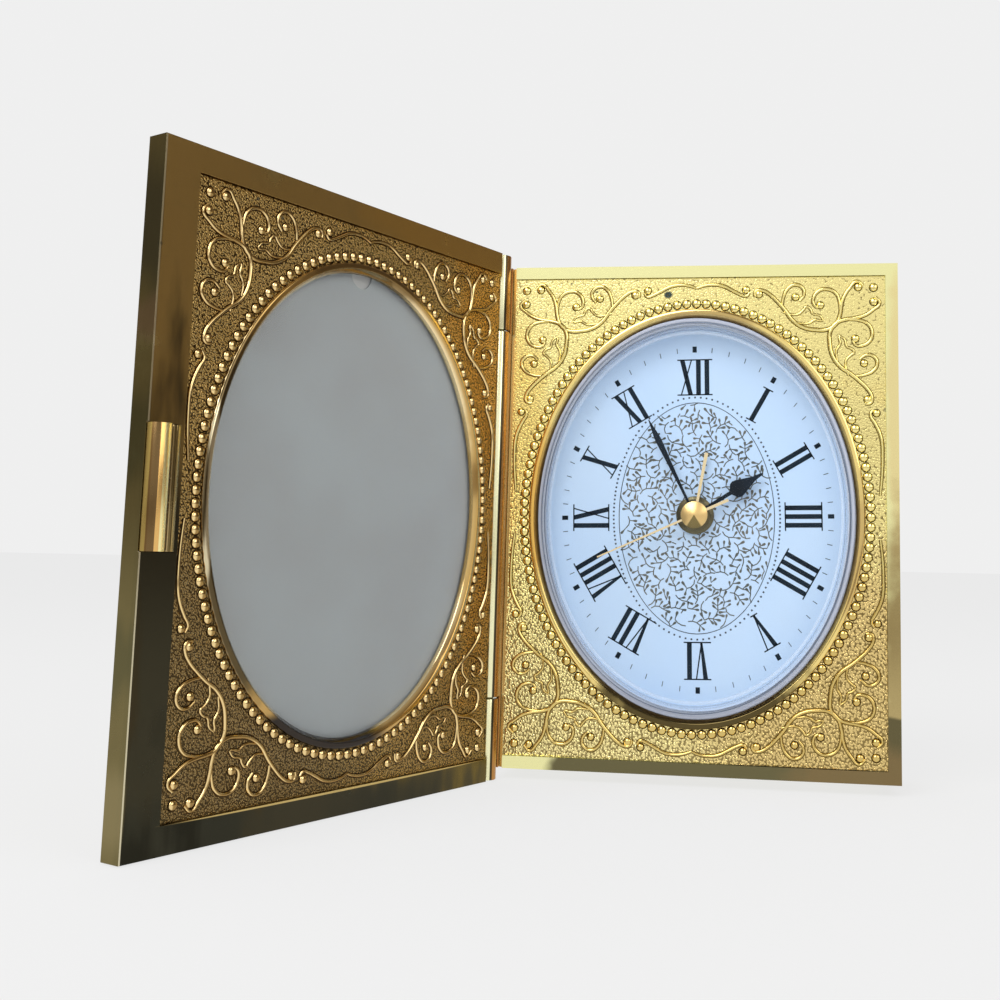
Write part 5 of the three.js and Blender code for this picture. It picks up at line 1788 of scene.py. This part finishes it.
@dataclass
class Studio:
    """Floor, soft light, pale surroundings and the camera."""

    pale: float = 0.865
    camera_place: Point3 = (0.015474, -0.252133, 0.042523)
    camera_turn: Point3 = (96.979, -1.178, 7.945)
    lens: float = 43.827
    sensor: float = 36.0
    shift: Point2 = (-0.108, -0.092)
    floor_size: Point2 = (12.0, 12.0)
    floor_drop: float = 0.0002
    floor_tone: float = 0.64
    floor_glow: float = 0.85
    floor_roughness: float = 0.9
    zenith: Point3 = (0.30, 0.26, 0.20)
    aim: Point3 = (0.0, 0.0, 0.05)
    box_size: float = 0.5

    def build(self) -> None:
        """Sets up everything round the clock."""
        self.floor()
        self.world()
        self.lights()
        self.camera()
        bpy.context.scene.view_settings.view_transform = "Standard"

    def camera(self) -> None:
        """Camera at the photograph's viewing angle."""
        data = bpy.data.cameras.new("camera")
        data.lens = self.lens
        data.sensor_width = self.sensor
        data.shift_x, data.shift_y = self.shift
        data.clip_start = 0.01
        camera = linked("camera", data)
        camera.location = self.camera_place
        camera.rotation_euler = degrees(self.camera_turn)
        bpy.context.scene.camera = camera

    def floor(self) -> None:
        """Wide pale floor that keeps the clock's shadow."""
        material, sheet, shader = new_material("floor_paper")
        sheet.feed(shader, {
            "Base Color": (self.floor_tone, self.floor_tone, self.floor_tone, 1.0),
            "Specular IOR Level": 0.0, "Roughness": self.floor_roughness,
        })
        glow = sheet.add("Emission", {"Color": (self.pale, self.pale, self.pale, 1.0), "Strength": 1.0})
        share = sheet.maths("MULTIPLY", seen_rays(sheet), self.floor_glow)
        mix = sheet.add("MixShader", {0: share, 1: shader.outputs[0], 2: glow.outputs[0]})
        sheet.feed(sheet.tree.nodes["Material Output"], {"Surface": mix.outputs[0]})
        floor = flat_card("floor", self.floor_size, material)
        floor.location.z = -self.floor_drop

    def world(self) -> None:
        """Pale surroundings for the eye, with a softer gradient that lights the metal."""
        world = bpy.data.worlds.new("studio")
        world.use_nodes = True
        bpy.context.scene.world = world
        sheet = Sheet(world.node_tree)
        heading = sheet.add("TexCoord").outputs["Generated"]
        parts = sheet.add("SeparateXYZ", {0: heading}).outputs
        lift = sheet.maths("ADD", sheet.maths("MULTIPLY", parts["Z"], 0.62), 0.42)
        side = sheet.maths("MULTIPLY", parts["X"], -0.28)
        lit = sheet.span(sheet.maths("ADD", lift, side), 0.1, 0.9)
        tone = sheet.blend(lit, (0.12, 0.11, 0.10), (1.0, 1.0, 1.0))
        across = sheet.span(sheet.maths("ABSOLUTE", parts["Y"]), 0.55, 0.2)
        shade = sheet.maths("MAXIMUM", across, sheet.span(parts["Z"], 0.35, 0.75))
        glossy = sheet.add("LightPath").outputs["Is Glossy Ray"]
        pale = (self.pale, self.pale, self.pale)
        around = sheet.blend(sheet.maths("MULTIPLY", shade, glossy), pale, self.zenith)
        sheet.feed(world.node_tree.nodes["Background"], {
            "Color": sheet.blend(seen_rays(sheet), tone, around), "Strength": 1.0,
        })

    def lights(self) -> None:
        """Two large soft boxes over the clock, and dark cards that give the metal something to show."""
        self.soft_box("key", (-0.25, -0.55, 0.62), 4.2)
        self.soft_box("fill", (0.55, -0.35, 0.45), 1.6)
        self.dark_card("front_card", (0.0, -0.8, 0.0005), (1.4, 1.0), (0.0, 0.0, 0.0))
        self.dark_card("side_card", (0.9, 0.1, 0.5), (2.2, 1.3), (90.0, 0.0, -75.0))

    def dark_card(self, name: str, place: Point3, size: Point2, turn: Point3) -> None:
        """Dark card that only polished surfaces see.

        Args:
            name: name of the card.
            place: its middle in metres.
            size: width and height in metres.
            turn: rotation in degrees.
        """
        card = flat_card(name, size, Finishes.dark_card.material())
        card.location = place
        card.rotation_euler = degrees(turn)
        card.visible_camera = False
        card.visible_diffuse = False
        card.visible_shadow = False

    def soft_box(self, name: str, place: Point3, power: float) -> None:
        """Square area light aimed at the middle of the clock.

        Args:
            name: name of the light.
            place: its middle in metres.
            power: its power in watts.
        """
        data = bpy.data.lights.new(name, "AREA")
        data.size = self.box_size
        data.energy = power
        light = linked(name, data)
        light.location = place
        aim = Vector(self.aim) - Vector(place)
        light.rotation_euler = aim.to_track_quat("-Z", "Y").to_euler()


def main() -> None:
    """Builds every sub-assembly in order."""
    logging.basicConfig(level=logging.INFO, format="%(message)s")
    for part in (
        Studio(),
        Cases(),
        OrnamentPlate(CLOCK, "clock_ornament_plate", Finishes.plate, Finishes.relief),
        OrnamentPlate(LID, "lid_ornament_plate", Finishes.lid_plate, Finishes.lid_relief),
        OvalBezel(CLOCK, "clock_bezel", Finishes.bezel, -1.15),
        OvalBezel(LID, "lid_bezel", Finishes.lid_bezel, -1.1),
        Crystal(),
        Dial(),
        HandStack(),
        Hinge(),
        Clasp(),
    ):
        part.build()


if __name__ == "__main__":
    main()
